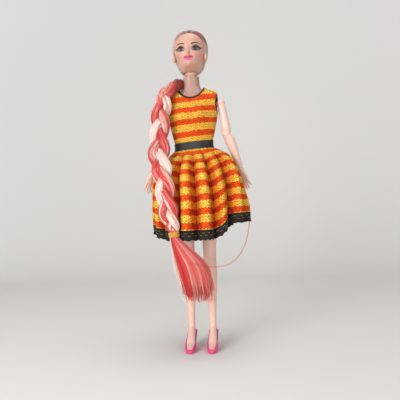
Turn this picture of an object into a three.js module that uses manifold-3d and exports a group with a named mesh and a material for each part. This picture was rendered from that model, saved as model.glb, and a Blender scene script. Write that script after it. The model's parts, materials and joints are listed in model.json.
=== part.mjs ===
import * as THREE from 'three';
import { mergeVertices } from 'three/addons/utils/BufferGeometryUtils.js';
import Module from 'manifold-3d';

const wasm = await Module();
wasm.setup();

// Driving sizes in millimetres. The doll faces -Y, +X is its own left, and heights stack up from the shoe soles.
const SHIN_LENGTH = 85;
const THIGH_LENGTH = 72;
const TRUNK_LENGTH = 65;
const NECK_LENGTH = 29.5;
const HEAD_HEIGHT = 41;
const UPPER_ARM_DROP = 24.5;
const FOREARM_LENGTH = 36.5;
const SHOULDER_X = 26;
const HIP_X = 13.1;
const SKIRT_LENGTH = 71;
const HEM_DEPTH = 7.6;

// Thicknesses and clearances.
const SHELL_WALL = 1.7;
const SKIN_GAP = 0.35;
const CLOTH = 1.35;
const PART_GAP = 0.3;
const PIN_FIT = 0.06;
const RUNNING = 0.18;
const FLATNESS = 0.05;

// Heights that follow from the lengths.
const KNEE_Z = SHIN_LENGTH;
const HIP_Z = KNEE_Z + THIGH_LENGTH;
const SHOULDER_Z = HIP_Z + TRUNK_LENGTH;
const NOD_Z = SHOULDER_Z + NECK_LENGTH;
const CHIN_Z = NOD_Z - 1.5;
const WAIST_Z = HIP_Z + 0.446 * TRUNK_LENGTH;
const ELBOW = new THREE.Vector3(SHOULDER_X + 3.8, 0, SHOULDER_Z - UPPER_ARM_DROP);

// Colours and finishes.
const FINISH = {
  skin: [0xf0c9b4, 0.45],
  vinyl: [0xf1cbb6, 0.55],
  hair: [0xe8c79a, 0.5],
  hairRed: [0xd2403f, 0.5],
  knit: [0xe8641c, 0.95],
  trim: [0x1a1718, 0.8],
  elastic: [0xd9a534, 0.7],
  shoe: [0xd63d7c, 0.25],
  tape: [0xe9e4dc, 0.95],
};

const group = new THREE.Group();
const rad = THREE.MathUtils.degToRad;
const vec = (x, y, z) => new THREE.Vector3(x, y, z);

// Smooth interpolation down a table whose first column is the key.
function profile(rows) {
  return (key) => {
    let i = 0;
    while (i < rows.length - 2 && key > rows[i + 1][0]) i += 1;
    const a = rows[i];
    const b = rows[i + 1];
    const before = rows[i - 1] ?? a;
    const after = rows[i + 2] ?? b;
    const span = b[0] - a[0];
    const t = THREE.MathUtils.clamp((key - a[0]) / span, 0, 1);
    return a.slice(1).map((from, k) => {
      const to = b[k + 1];
      const m0 = span * (to - before[k + 1]) / (b[0] - before[0]);
      const m1 = span * (after[k + 1] - from) / (after[0] - a[0]);
      const t2 = t * t;
      const t3 = t2 * t;
      return (2 * t3 - 3 * t2 + 1) * from + (t3 - 2 * t2 + t) * m0 + (3 * t2 - 2 * t3) * to + (t3 - t2) * m1;
    });
  };
}

const steps = (from, to, count) => Array.from({ length: count + 1 }, (_, i) => from + (to - from) * i / count);

// Makes a closed solid from points and faces, whichever way they wind.
function fromFaces(points, faces) {
  const flat = new Float32Array(points.flatMap((p) => [p.x, p.y, p.z]));
  let volume = 0;
  for (let i = 0; i < faces.length; i += 3) {
    const [a, b, c] = [points[faces[i]], points[faces[i + 1]], points[faces[i + 2]]];
    volume += a.dot(vec(0, 0, 0).crossVectors(b, c));
  }
  const wound = volume > 0 ? faces : faces.toReversed();
  return new wasm.Manifold(new wasm.Mesh({ numProp: 3, vertProperties: flat, triVerts: new Uint32Array(wound) }));
}

// Skins a row of rings and closes both ends.
function loft(rings) {
  const n = rings[0].length;
  const points = rings.flat();
  const start = points.length;
  const middle = (ring) => ring.reduce((sum, p) => sum.add(p), vec(0, 0, 0)).divideScalar(n);
  points.push(middle(rings[0]), middle(rings[rings.length - 1]));
  const faces = [];
  for (let i = 0; i < n; i += 1) {
    const j = (i + 1) % n;
    for (let r = 0; r < rings.length - 1; r += 1) {
      const low = r * n;
      const high = low + n;
      faces.push(low + i, low + j, high + j, low + i, high + j, high + i);
    }
    const top = (rings.length - 1) * n;
    faces.push(j, i, start, top + i, top + j, start + 1);
  }
  return fromFaces(points, faces);
}

// Skins two matching rows of open rings into one closed ring of cloth.
function cloth(outer, inner) {
  const n = outer[0].length;
  const loop = [...outer, ...inner.toReversed()];
  const faces = [];
  loop.forEach((_, r) => {
    const low = r * n;
    const high = ((r + 1) % loop.length) * n;
    for (let i = 0; i < n; i += 1) {
      const j = (i + 1) % n;
      faces.push(low + i, low + j, high + j, low + i, high + j, high + i);
    }
  });
  return fromFaces(loop.flat(), faces);
}

// A level ring with its own half width, front depth and back depth.
function ring(x, y, z, halfWidth, front, back, n, power = 2) {
  return steps(0, 1, n).slice(0, n).map((u) => {
    const c = Math.cos(u * 2 * Math.PI);
    const s = Math.sin(u * 2 * Math.PI);
    const round = (v) => Math.sign(v) * Math.abs(v) ** (2 / power);
    return vec(x + halfWidth * round(c), y + (s < 0 ? front : back) * round(s), z);
  });
}

// A tube through points, each with its own width and height radius; side is its level width direction.
function tube(stations, n) {
  const path = new THREE.CatmullRomCurve3(stations.map((s) => vec(...s.slice(0, 3))));
  const sizes = profile(stations.map((s, i) => [i / (stations.length - 1), s[3], s[4] ?? s[3]]));
  return (count) => loft(steps(0, 1, count).map((t) => {
    const at = path.getPoint(t);
    const along = path.getTangent(t);
    const side = vec(0, 0, 0).crossVectors(along, vec(0, 1, 0.01)).normalize();
    const up = vec(0, 0, 0).crossVectors(side, along).normalize();
    const [wide, high] = sizes(t);
    return steps(0, 2 * Math.PI, n).slice(0, n).map((a) => at.clone()
      .addScaledVector(side, wide * Math.cos(a)).addScaledVector(up, high * Math.sin(a)));
  }));
}

// Turns a closed three.js shape into a solid that can be joined and cut.
function toSolid(geometry) {
  const bare = new THREE.BufferGeometry();
  bare.setAttribute('position', geometry.getAttribute('position'));
  bare.setIndex(geometry.getIndex());
  const merged = mergeVertices(bare, 1e-4);
  const index = Array.from(merged.getIndex().array);
  const kept = [];
  for (let i = 0; i < index.length; i += 3) {
    const [a, b, c] = index.slice(i, i + 3);
    if (a !== b && b !== c && c !== a) kept.push(a, b, c);
  }
  const vertProperties = merged.getAttribute('position').array;
  return new wasm.Manifold(new wasm.Mesh({ numProp: 3, vertProperties, triVerts: new Uint32Array(kept) }));
}

const TURN = { x: [0, 0, 90], y: [0, 0, 0], z: [90, 0, 0] };
const rod = (axis, length, radius, end = radius, n = 12) => (
  toSolid(new THREE.CylinderGeometry(end, radius, length, n)).rotate(TURN[axis]));
const box = (x, y, z) => toSolid(new THREE.BoxGeometry(x, y, z));
const ball = (radius, n = 20) => toSolid(new THREE.SphereGeometry(radius, n, Math.round(n * 0.6)));

// Stores one solid as a named mesh, with the waist at the origin.
function add(name, solid, finish) {
  const { vertProperties, triVerts } = solid.translate([0, 0, -WAIST_Z]).simplify(FLATNESS).getMesh();
  const geometry = new THREE.BufferGeometry();
  geometry.setAttribute('position', new THREE.BufferAttribute(Float32Array.from(vertProperties), 3));
  geometry.setIndex(new THREE.BufferAttribute(Uint32Array.from(triVerts), 1));
  geometry.computeVertexNormals();
  const [color, roughness] = FINISH[finish];
  const mesh = new THREE.Mesh(geometry, new THREE.MeshStandardMaterial({ color, roughness, metalness: 0 }));
  mesh.name = name;
  group.add(mesh);
}

function addPair(name, solid, finish) {
  add(`left_${name}`, solid, finish);
  add(`right_${name}`, solid.mirror([1, 0, 0]), finish);
}

// Neck joint sizes.
const NECK_Y = 1.5;
const KNOB = 6.2;
const CUP_DROP = 3.9;
const HEAD_CLEAR = 1.2;

// The trunk's section at a height: half width, front, back, bust, the middle's offset and how square it is.
const T = TRUNK_LENGTH;
const trunkSize = profile([
  [HIP_Z + 0.17 * T, 20.6, 10.4, 12.6, 0, 0, 2.15],
  [HIP_Z + 0.28 * T, 18.2, 10.0, 11.2, 0, 0, 2.15],
  [HIP_Z + 0.42 * T, 15.6, 8.8, 8.4, 0, 0, 2.15],
  [HIP_Z + 0.6 * T, 17.8, 9.4, 8.0, 0.2, 0, 2.15],
  [HIP_Z + 0.72 * T, 19.6, 10.3, 8.4, 1.4, 0, 2.2],
  [HIP_Z + 0.82 * T, 20.8, 11.2, 8.8, 4.2, 0, 2.4],
  [HIP_Z + 0.91 * T, 21.6, 10.6, 8.9, 2.6, 0, 2.7],
  [HIP_Z + 1.0 * T, 21.9, 9.4, 8.6, 0.5, 0, 3],
  [HIP_Z + 1.09 * T, 21.8, 8.0, 7.8, 0, 0.3, 3.1],
  [HIP_Z + 1.125 * T, 21.2, 7.2, 7.2, 0, 0.5, 2.9],
  [HIP_Z + 1.16 * T, 17.4, 6.6, 6.8, 0, 0.8, 2.5],
  [HIP_Z + 1.19 * T, 12.2, 6.5, 6.7, 0, 1.0, 2.3],
  [HIP_Z + 1.23 * T, 8.8, 6.7, 6.8, 0, 1.3, 2.15],
  [HIP_Z + 1.28 * T, 7.5, 7.0, 7.0, 0, 1.5, 2.1],
  [NOD_Z - CUP_DROP, 7.3, 7.1, 7.1, 0, 1.5, 2.1],
]);
const BUST_X = 8.4;
const BUST_SPREAD = 5.6;
const SLOPE_Z = HIP_Z + 1.08 * T;
function trunkRing(z, grow, n) {
  const [halfWidth, front, back, bust, shift, square] = trunkSize(z);
  const lift = grow * THREE.MathUtils.smoothstep(z, SLOPE_Z - 3, SLOPE_Z + 3);
  const base = ring(0, shift, z + lift, halfWidth + grow, front + grow, back + grow, n, square);
  return base.map((p) => {
    const faceOn = Math.max(0, (shift - p.y) / (front + grow));
    const swell = bust * Math.exp(-(((Math.abs(p.x) - BUST_X) / BUST_SPREAD) ** 2)) * faceOn;
    return vec(p.x, p.y - swell, p.z);
  });
}
const trunkRows = [0.28, 0.36, 0.44, 0.52, 0.6, 0.68, 0.75, 0.82, 0.89, 0.96, 1.04, 1.09, 1.125, 1.155, 1.19,
  1.24, 1.29].map((share) => HIP_Z + share * T);

// The rows between the two ends are always the same, so a garment follows the skin under it.
function trunkForm(from, to, grow, n = 22) {
  const rows = [from, ...trunkRows.filter((z) => z > from + 1 && z < to - 1), to];
  return loft(rows.map((z) => trunkRing(z, grow, n)));
}

// Hip joint sizes.
const HIP_BALL = 10.6;
const HIP_SHAFT = 3;
const CROTCH_HALF = 2.3;
const SHELL_LOW = HIP_Z + HIP_BALL + 2 * PART_GAP;

// Shoulder joint sizes.
const ARM_BALL = 4;
const ARM_SHAFT = 3.4;
const DISC_RADIUS = 4.6;
const DISC_X = SHOULDER_X - ARM_BALL - PART_GAP;
const DISC_THICK = 0.9;
const FLANGE_THICK = 1.4;

// The two halves of the hollow trunk meet at the sides.
function buildTrunk() {
  const crotch = loft([
    ring(0, 1, HIP_Z - 9.6, CROTCH_HALF * 0.7, 3.5, 4, 16),
    ring(0, 1, HIP_Z - 7, CROTCH_HALF, 6.5, 7.5, 16),
    ring(0, 1, HIP_Z, CROTCH_HALF, 8.6, 9.6, 16),
    ring(0, 1, SHELL_LOW + 1, CROTCH_HALF, 9.6, 10.6, 16),
  ]);
  const outside = trunkForm(SHELL_LOW, NOD_Z - CUP_DROP, 0).add(crotch);
  const hollow = trunkForm(SHELL_LOW + 2 * SHELL_WALL, SHOULDER_Z + 9, -SHELL_WALL, 12);
  const armSeat = rod('x', 20, DISC_RADIUS + PART_GAP, undefined, 20)
    .translate([DISC_X - DISC_THICK - PART_GAP + 10, 0, SHOULDER_Z]);
  const cuts = [
    hollow,
    rod('x', 70, ARM_SHAFT + RUNNING, undefined, 16).translate([0, 0, SHOULDER_Z]),
    armSeat,
    armSeat.mirror([1, 0, 0]),
    rod('x', 3 * CROTCH_HALF, HIP_SHAFT + RUNNING, undefined, 16).translate([0, 0, HIP_Z]),
    ball(HIP_BALL + 2 * PART_GAP, 16).translate([HIP_X, 0, HIP_Z]),
    ball(HIP_BALL + 2 * PART_GAP, 16).translate([-HIP_X, 0, HIP_Z]),
    ball(KNOB + SKIN_GAP, 16).translate([0, NECK_Y, NOD_Z]),
  ];
  const shell = cuts.reduce((solid, cut) => solid.subtract(cut), outside);
  add('trunk_front_shell', shell.trimByPlane([0, -1, 0], PART_GAP / 4), 'skin');
  add('trunk_back_shell', shell.trimByPlane([0, 1, 0], PART_GAP / 4), 'skin');
}

// The head's section planes fan out from the jaw to the crown.
const H = HEAD_HEIGHT;
const headSize = profile([
  [0, -5.4, 0.2, 8.8, 1.2, 7.6, 0.0],
  [1, -10.4, 1.4, 12.4, 3.8, 10.0, 0.08],
  [2, -13.3, 3.8, 14.8, 7.4, 11.6, 0.3],
  [3, -14.7, 7.6, 16.8, 11.0, 13.0, 0.32],
  [4, -15.3, 11.6, 18.4, 15, 14.1, 0.24],
  [5, -15.4, 15, 19.6, 18.6, 15.0, 0.16],
  [6, -15.0, 19.6, 20.2, 22, 15.5, 0.1],
  [7, -14.7, 24.6, 19.8, 26, 15.4, 0.06],
  [8, -12.8, 30.6, 17.6, 31, 13.9, 0.0],
  [9, -8.9, 35.7, 13.3, 35.7, 10.6, 0.0],
  [10, -4.4, 38.2, 8, 38.2, 6.1, 0.0],
  [10.6, -0.6, 39.1, 4.2, 39.1, 2.3, 0.0],
]);

// Face relief: sideways place, height above the chin, spread sideways, spread upwards, how far it stands out.
const RELIEF = [
  [0, 12.2, 1.3, 1.5, 1.8],
  [0, 15.6, 1.2, 3.0, 1.3],
  [0, 9.1, 2.9, 0.85, 0.9],
  [0, 7.0, 2.5, 0.9, 1.0],
  [0, 2.4, 3.0, 2.0, 0.8],
  [6.8, 16.8, 3.2, 2.0, -1.15],
  [-6.8, 16.8, 3.2, 2.0, -1.15],
  [8.6, 10.5, 3.5, 3.2, 0.5],
  [-8.6, 10.5, 3.5, 3.2, 0.5],
  [6.6, 21.5, 4.2, 1.6, 0.45],
  [-6.6, 21.5, 4.2, 1.6, 0.45],
];

function headRing(level, grow, n, face) {
  const [frontY, frontZ, backY, backZ, wide, taper] = headSize(level);
  const scale = H / 41;
  return steps(0, 2 * Math.PI, n).slice(0, n).map((a) => {
    const back = (1 - Math.cos(a)) / 2;
    const slim = 1 - taper * ((1 + Math.cos(a)) / 2) ** 1.5;
    const reach = Math.hypot(backY - frontY, backZ - frontZ) / 2;
    const ease = (reach + grow) / reach;
    const midY = (frontY + backY) / 2;
    const y = midY + (frontY + (backY - frontY) * back - midY) * ease;
    const x = (wide + grow) * Math.sin(a) * slim;
    const rise = level > 9 ? grow * (level - 9) / 1.6 : 0;
    const z = frontZ + (backZ - frontZ) * back;
    const forward = Math.max(0, Math.cos(a));
    const lift = face ? RELIEF.reduce((sum, [px, pz, sx, sz, out]) => (
      sum + out * Math.exp(-(((x - px) / sx) ** 2) - ((z - 3.2 - pz) / sz) ** 2)), 0) : 0;
    return vec(x * scale, (y - lift * Math.min(1, 2 * forward)) * scale, CHIN_Z + (z + rise) * scale);
  });
}
const headForm = (levels, grow, n, face) => loft(levels.map((level) => headRing(level, grow, n, face)));

const HEAD_SIDES = 26;
const HAIR_THICK = 1.2;
const SKIN_LEVELS = [0, 0.8, 1.6, 2.3, 3, 3.4, 3.8, 4.2, 4.7, 5.2, 5.9, 6.8, 7.7, 8.7, 9.7, 10.6];
const CAP_LEVELS = [0, 0.8, 1.6, 2.3, 3, 4.2, 5.2, 6.8, 7.7, 8.7, 9.7, 10.6];
const EAR = [14.6, -2.2, 15];
const ear = (grow) => ball(1, 8).scale([1.7 + grow, 2.1 + grow, 3.5 + grow])
  .translate([EAR[0], EAR[1], CHIN_Z + EAR[2]]);

// The hollow head with its socket over the knob.
function buildHead() {
  const skin = headForm(SKIN_LEVELS, 0, HEAD_SIDES, true)
    .add(ear(0))
    .add(ear(0).mirror([1, 0, 0]));
  const hollow = headForm([0.9, 2.5, 4.5, 6.5, 8.3, 9.6], -2.4, 12, false)
    .intersect(box(60, 60, 60).translate([0, 0, NOD_Z + KNOB - 2 + 30]));
  const socket = ball(KNOB + SKIN_GAP, 16).translate([0, NECK_Y, NOD_Z]);
  const mouth = rod('z', 12, KNOB * 0.9).translate([0, NECK_Y, NOD_Z - 6]);
  const throat = rod('z', 8, 4.2).translate([0, NECK_Y, NOD_Z + 6]);
  const clear = box(40, 60, 20).translate([0, 0, NOD_Z - 10 - HEAD_CLEAR]);
  add('head', [hollow, socket, mouth, throat, clear].reduce((solid, cut) => solid.subtract(cut), skin), 'vinyl');

  const knob = ball(KNOB, 16)
    .trimByPlane([0, 0, -1], -4.4)
    .trimByPlane([0, 0, 1], -5)
    .add(rod('z', 4, 3.6).translate([0, 0, 5.4]))
    .add(rod('z', 1.6, 5.4).translate([0, 0, 7.6]));
  add('neck_knob', knob.translate([0, NECK_Y, NOD_Z]), 'vinyl');

  const cap = headForm(CAP_LEVELS, HAIR_THICK, HEAD_SIDES, false)
    .subtract(headForm(CAP_LEVELS, SKIN_GAP, HEAD_SIDES, false));
  const temple = vec(0, 1, 0.374).normalize();
  const nape = vec(0, 1, 1).normalize();
  const hairline = vec(0, -9.6, CHIN_Z + 34.6);
  const behindEar = vec(0, -0.4, CHIN_Z + 10.4);
  const trimmed = cap
    .trimByPlane(temple.toArray(), temple.dot(hairline))
    .trimByPlane(nape.toArray(), nape.dot(behindEar))
    .subtract(ear(PART_GAP))
    .subtract(ear(PART_GAP).mirror([1, 0, 0]));
  const pieces = trimmed.decompose().sort((a, b) => b.volume() - a.volume());
  add('scalp_hair', pieces[0], 'hair');
}

// The braid's path from the shoulder to the tie, with the turn of its flat side and its size.
const SX = SHOULDER_Z;
const BRAID = [
  [-23.2, -13.2, SX + 8.5, 0, 0.72],
  [-25.4, -16.0, SX - 3, 0, 0.86],
  [-27.6, -17.0, SX - 17, 0, 0.94],
  [-28.8, -18.6, SX - 32, 6, 0.98],
  [-28.4, -23.6, SX - 47, 14, 1.03],
  [-25.2, -32.0, SX - 60, 24, 1.0],
  [-22.2, -38.8, SX - 74, 22, 0.95],
  [-20.2, -42.3, SX - 90, 16, 0.94],
  [-17.6, -43.4, SX - 103, 10, 0.78],
  [-15.0, -43.8, SX - 112.3, 6, 0.5],
];
const braidPath = new THREE.CatmullRomCurve3(BRAID.map((s) => vec(s[0], s[1], s[2])));
const braidSize = profile(BRAID.map((s, i) => [i / (BRAID.length - 1), s[3], s[4]]));
const BRAID_TURNS = 2.4;
const STRAND = 4.5;
const SWAY = 5.1;
const CROSS = 2.3;

function strand(phase) {
  return loft(steps(0, 1, 28).map((t) => {
    const place = (s) => {
      const [turn, size] = braidSize(s);
      const side = vec(Math.cos(rad(turn)), -Math.sin(rad(turn)), 0);
      const out = vec(-Math.sin(rad(turn)), -Math.cos(rad(turn)), 0);
      const a = 2 * Math.PI * (s * BRAID_TURNS + phase / 3);
      return braidPath.getPoint(s).clone()
        .addScaledVector(side, SWAY * size * Math.sin(a))
        .addScaledVector(out, CROSS * size * Math.sin(2 * a));
    };
    const near = 0.004;
    const low = Math.max(0, t - near);
    const high = Math.min(1, t + near);
    const along = place(high).sub(place(low)).normalize();
    const [turn, size] = braidSize(t);
    const out = vec(-Math.sin(rad(turn)), -Math.cos(rad(turn)), 0);
    const side = vec(0, 0, 0).crossVectors(along, out).normalize();
    const up = vec(0, 0, 0).crossVectors(side, along);
    return steps(0, 2 * Math.PI, 6).slice(0, 6).map((a) => place(t)
      .addScaledVector(side, STRAND * size * Math.cos(a))
      .addScaledVector(up, STRAND * 0.8 * size * Math.sin(a)));
  }));
}

// Ponytail, braid, tie and tail.
function buildHair() {
  const start = braidPath.getPoint(0);
  const ponytail = tube([
    [0.5, 17.2, CHIN_Z + 8.6, 4.6, 2.6],
    [-1.8, 20.4, CHIN_Z + 2.5, 5.0, 3.6],
    [-8.5, 17.0, CHIN_Z - 5, 4.6, 4.0],
    [-13, 6, CHIN_Z - 7, 4.0, 3.5],
    [-12.8, -2.8, CHIN_Z - 8.2, 3.7, 3.3],
    [-14.4, -8.8, CHIN_Z - 11.8, 4.0, 3.6],
    [-18.8, -12.0, CHIN_Z - 16.4, 4.8, 4.2],
    [start.x, start.y, start.z + PART_GAP, 6.0, 4.8],
  ], 10)(14);
  const scalp = headForm(CAP_LEVELS, HAIR_THICK + PART_GAP, HEAD_SIDES, false);
  const braid = strand(0).add(strand(1)).add(strand(2));
  const end = braidPath.getPoint(1);
  const topCut = ponytail.subtract(scalp).trimByPlane([0, 0, 1], start.z + PART_GAP / 2);
  add('ponytail', topCut.decompose().sort((a, b) => b.volume() - a.volume())[0], 'hair');
  const tie = end.z - PART_GAP;
  const plaited = braid.trimByPlane([0, 0, -1], PART_GAP / 2 - start.z)
    .trimByPlane([0, 0, 1], tie + PART_GAP);
  add('braid', plaited, 'hairRed');
  add('hair_tie', loft([
    ring(end.x, end.y, tie, 4.4, 3.6, 3.6, 14),
    ring(end.x, end.y, tie - 1.5, 4.9, 4.1, 4.1, 14),
    ring(end.x + 0.1, end.y, tie - 3.3, 4.8, 4.0, 4.0, 14),
    ring(end.x + 0.1, end.y, tie - 4.6, 4.2, 3.4, 3.4, 14),
  ]), 'elastic');
  const root = tie - 4.6 - PART_GAP;
  add('hair_tail', loft([
    ring(end.x, end.y, root, 4.0, 3.3, 3.3, 16),
    ring(end.x + 1.6, end.y + 0.6, root - 5.5, 4.8, 3.4, 3.4, 16),
    ring(end.x + 4.1, end.y + 1.2, root - 12.5, 7.4, 3.9, 3.9, 16),
    ring(end.x + 12.0, end.y + 4.6, root - 28.5, 14.0, 4.2, 4.2, 16),
    ring(end.x + 15.8, end.y + 7.4, root - 46.5, 14.8, 3.8, 3.8, 16),
    ring(end.x + 16.4, end.y + 8.6, root - 59, 13.0, 2.4, 2.4, 16),
  ]), 'hairRed');
}

const neckHalf = (ballRadius, shaft) => Math.min(0.45 * ballRadius, 0.85 * shaft);

// A disc with a tongue that carries a ball-topped limb; the ball's middle is the origin and the disc lies on -X.
function swingDisc({ disc, thick, shaft, shaftFrom, flange, reach, ballRadius, tongue, pin }) {
  const face = -ballRadius - PART_GAP;
  const eye = ballRadius * 0.64;
  const plate = rod('x', thick, disc).translate([face - thick / 2, 0, 0]);
  const stem = rod('x', reach, shaft).translate([face - thick - reach / 2 + 0.01, 0, 0]);
  const neck = box(-face + thick / 2, 2 * tongue, 2 * neckHalf(ballRadius, shaft))
    .translate([face / 2 - thick / 4, 0, 0]);
  const parts = [stem, neck, rod('y', 2 * tongue, eye)];
  if (flange) parts.push(rod('x', FLANGE_THICK, flange).translate([shaftFrom + FLANGE_THICK / 2, 0, 0]));
  return parts.reduce((solid, next) => solid.add(next), plate)
    .subtract(rod('y', 4 * tongue, pin + RUNNING));
}

// Cuts the slot for that tongue, open from the disc's side up to where the limb's highest raise takes it.
function tongueSlot(ballRadius, shaft, tongue, raise) {
  const half = tongue + RUNNING;
  const edge = neckHalf(ballRadius, shaft) + RUNNING;
  const far = 2.4 * ballRadius;
  const shape = new THREE.Shape();
  shape.moveTo(0, -edge);
  shape.lineTo(-far, -edge);
  steps(0, raise, 4).forEach((deg) => shape.lineTo(-1.2 * far * Math.cos(rad(deg)), 1.2 * far * Math.sin(rad(deg))));
  const along = [-Math.cos(rad(raise + 3)), Math.sin(rad(raise + 3))];
  shape.lineTo(far * along[0] + edge * along[1], far * along[1] - edge * along[0]);
  shape.lineTo(edge * along[1], -edge * along[0]);
  const sector = toSolid(new THREE.ExtrudeGeometry(shape, { depth: 2 * half, bevelEnabled: false }))
    .translate([0, 0, -half]).rotate([90, 0, 0]);
  return sector.add(rod('y', 2 * half, ballRadius * 0.64 + RUNNING + 0.1, undefined, 24));
}

// Joins two limbs with a knuckle, tongue and pin.
// The pivot is the origin, the pin lies along Y and the lower limb folds to +X.
function hinge(upper, lower, { knuckle, width, tongue, pin, share, straight, backward }) {
  const half = tongue + RUNNING;
  const wedge = (solid, up) => {
    const folded = vec(-Math.cos(rad(share)), 0, up * Math.sin(rad(share)));
    const open = vec(Math.cos(rad(straight)), 0, up * Math.sin(rad(straight)));
    return solid.trimByPlane(folded.toArray(), 0).trimByPlane(open.toArray(), 0);
  };
  const relief = rod('y', 4 * width, knuckle + PART_GAP, undefined, 18);
  const round = rod('y', 2 * width, knuckle, undefined, 18);
  const eye = 0.76 * knuckle;
  const behind = eye + RUNNING + knuckle * Math.sin(rad(backward));
  const slot = rod('y', 2 * half, eye + PART_GAP, undefined, 14)
    .add(box(behind + 3 * knuckle, 2 * half, 2 * knuckle).translate([(3 * knuckle - behind) / 2, 0, -knuckle]))
    .add(box(3 * knuckle, 2 * half, eye + PART_GAP).translate([1.5 * knuckle, 0, (eye + PART_GAP) / 2 - 0.1]));
  const hole = rod('y', 4 * width, pin + PIN_FIT);
  const fork = wedge(upper, 1).add(round.intersect(rod('z', 3 * knuckle, width)))
    .subtract(slot).subtract(hole);
  const blade = rod('y', 2 * tongue, eye, undefined, 14)
    .add(box(1.8 * eye, 2 * tongue, knuckle + 1.6).translate([0, 0, -(knuckle + 1.6) / 2]));
  const arm = wedge(lower, -1).subtract(relief).add(blade)
    .subtract(rod('y', 4 * width, pin + RUNNING));
  return { fork, arm, pin: rod('y', 2 * width - 0.5, pin) };
}

const limb = (rows, n = 14) => loft(rows.map(([z, x, y, radius]) => ring(x, y, z, radius, radius, radius, n)));

const ARM_TONGUE = 1.2;
const ARM_PIN = 1.15;
const FOREARM_TILT = 18;
const ARM_SWING = 6;
const WRIST = 2.7;
const HAND_PEG = 1.2;
const ELBOW_KNUCKLE = 4.6;

// The hand hangs down -Z from its wrist; the little finger is on +X and the palm faces back.
function buildHand() {
  const palm = loft([
    ring(0, 0, 0, WRIST, WRIST, WRIST, 12),
    ring(0, 0, -2, 2.6, 2.3, 2.3, 12),
    ring(0, 0, -6, 3.6, 1.8, 1.8, 12),
    ring(0, 0.1, -10, 4.0, 1.6, 1.6, 12),
    ring(0, 0.2, -12.4, 3.8, 1.2, 1.2, 12),
  ]);
  const fingers = [[-2.9, 9.4, -0.5], [-1.0, 10.6, -0.1], [1.0, 9.8, 0.4], [2.9, 7.2, 1.2]];
  const finger = ([x, length, spread]) => tube([
    [x, 0.1, -10.6, 0.98, 0.98],
    [x + spread * 0.4, 0.1, -11 - length * 0.5, 0.92, 0.95],
    [x + spread, 0.7, -11 - length * 0.92, 0.8, 0.8],
    [x + spread, 0.8, -11 - length, 0.4, 0.4],
  ], 6)(3);
  const thumb = tube([
    [-2.4, 0.2, -3.6, 1.1, 1.2],
    [-3.5, 1.0, -7, 1.05, 1.1],
    [-3.9, 1.9, -10.4, 0.85, 0.9],
    [-3.9, 2.0, -11.4, 0.4, 0.4],
  ], 6)(3);
  const peg = rod('z', 4.2, HAND_PEG).translate([0, 0, 2]);
  return [...fingers.map(finger), thumb, peg].reduce((solid, next) => solid.add(next), palm);
}

function buildArms() {
  const toElbow = [-ELBOW.x, -ELBOW.y, -ELBOW.z];
  const z = (drop) => SHOULDER_Z - drop;
  const upper = limb([
    [z(0), SHOULDER_X + 0.3, 0, 3.5],
    [z(4), SHOULDER_X + 0.9, 0, 3.75],
    [z(8), SHOULDER_X + 1.6, 0, 3.8],
    [z(13), SHOULDER_X + 2.3, 0, 3.85],
    [z(18), SHOULDER_X + 3, 0, 4.1],
    [z(22), SHOULDER_X + 3.5, 0, 4.4],
    [z(26), ELBOW.x, 0, ELBOW_KNUCKLE - 0.1],
  ]).translate(toElbow);
  const lower = limb([
    [3, 0, 0, ELBOW_KNUCKLE - 0.1],
    [-1, 0, 0, ELBOW_KNUCKLE],
    [-6, 0, 0, 4.75],
    [-13, 0, 0, 4.6],
    [-21, 0, 0, 4.0],
    [-29, 0, 0, 3.3],
    [-FOREARM_LENGTH + PART_GAP, 0, 0, WRIST],
  ]).subtract(rod('z', 9, HAND_PEG + RUNNING).translate([0, 0, -FOREARM_LENGTH]))
    .rotate([0, -FOREARM_TILT, 0]);
  const parts = hinge(upper, lower, {
    knuckle: ELBOW_KNUCKLE, width: ELBOW_KNUCKLE - 0.1, tongue: 1.4, pin: 1.3, share: 46, straight: 82, backward: 12,
  });
  const place = [ELBOW.x, ELBOW.y, ELBOW.z];
  const shoulder = [SHOULDER_X, 0, SHOULDER_Z];
  const pinHole = rod('y', 14, ARM_PIN + PIN_FIT);
  const arm = parts.fork.translate(place).translate([-SHOULDER_X, 0, -SHOULDER_Z])
    .add(ball(ARM_BALL, 14))
    .subtract(tongueSlot(ARM_BALL, ARM_SHAFT, ARM_TONGUE, 90))
    .subtract(pinHole);
  const hand = buildHand().rotate([0, 0, -32]).translate([0, 0, -FOREARM_LENGTH])
    .rotate([0, -FOREARM_TILT, 0]);
  const stem = 10.6;
  const disc = swingDisc({
    disc: DISC_RADIUS, thick: DISC_THICK, shaft: ARM_SHAFT, reach: stem, ballRadius: ARM_BALL,
    flange: ARM_SHAFT + 1, shaftFrom: -ARM_BALL - PART_GAP - DISC_THICK - stem, tongue: ARM_TONGUE, pin: ARM_PIN,
  });
  const fromShoulder = [place[0] - SHOULDER_X, 0, place[2] - SHOULDER_Z];
  const hung = (solid) => solid.rotate([ARM_SWING, 0, 0]).translate(shoulder);
  addPair('shoulder_disc', hung(disc), 'skin');
  addPair('shoulder_pin', hung(rod('y', 2 * ARM_BALL - 0.9, ARM_PIN)), 'skin');
  addPair('upper_arm', hung(arm), 'skin');
  addPair('elbow_pin', hung(parts.pin.translate(fromShoulder)), 'skin');
  addPair('forearm', hung(parts.arm.translate(fromShoulder)), 'skin');
  addPair('hand', hung(hand.translate(fromShoulder)), 'skin');
}

const KNEE_X = 9.8;
const KNEE_Y = -0.5;
const ANKLE_Z = 26;
const LEG_TONGUE = 1.7;
const LEG_PIN = 1.5;
const HIP_TONGUE = 1.7;
const HIP_PIN = 1.6;

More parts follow.
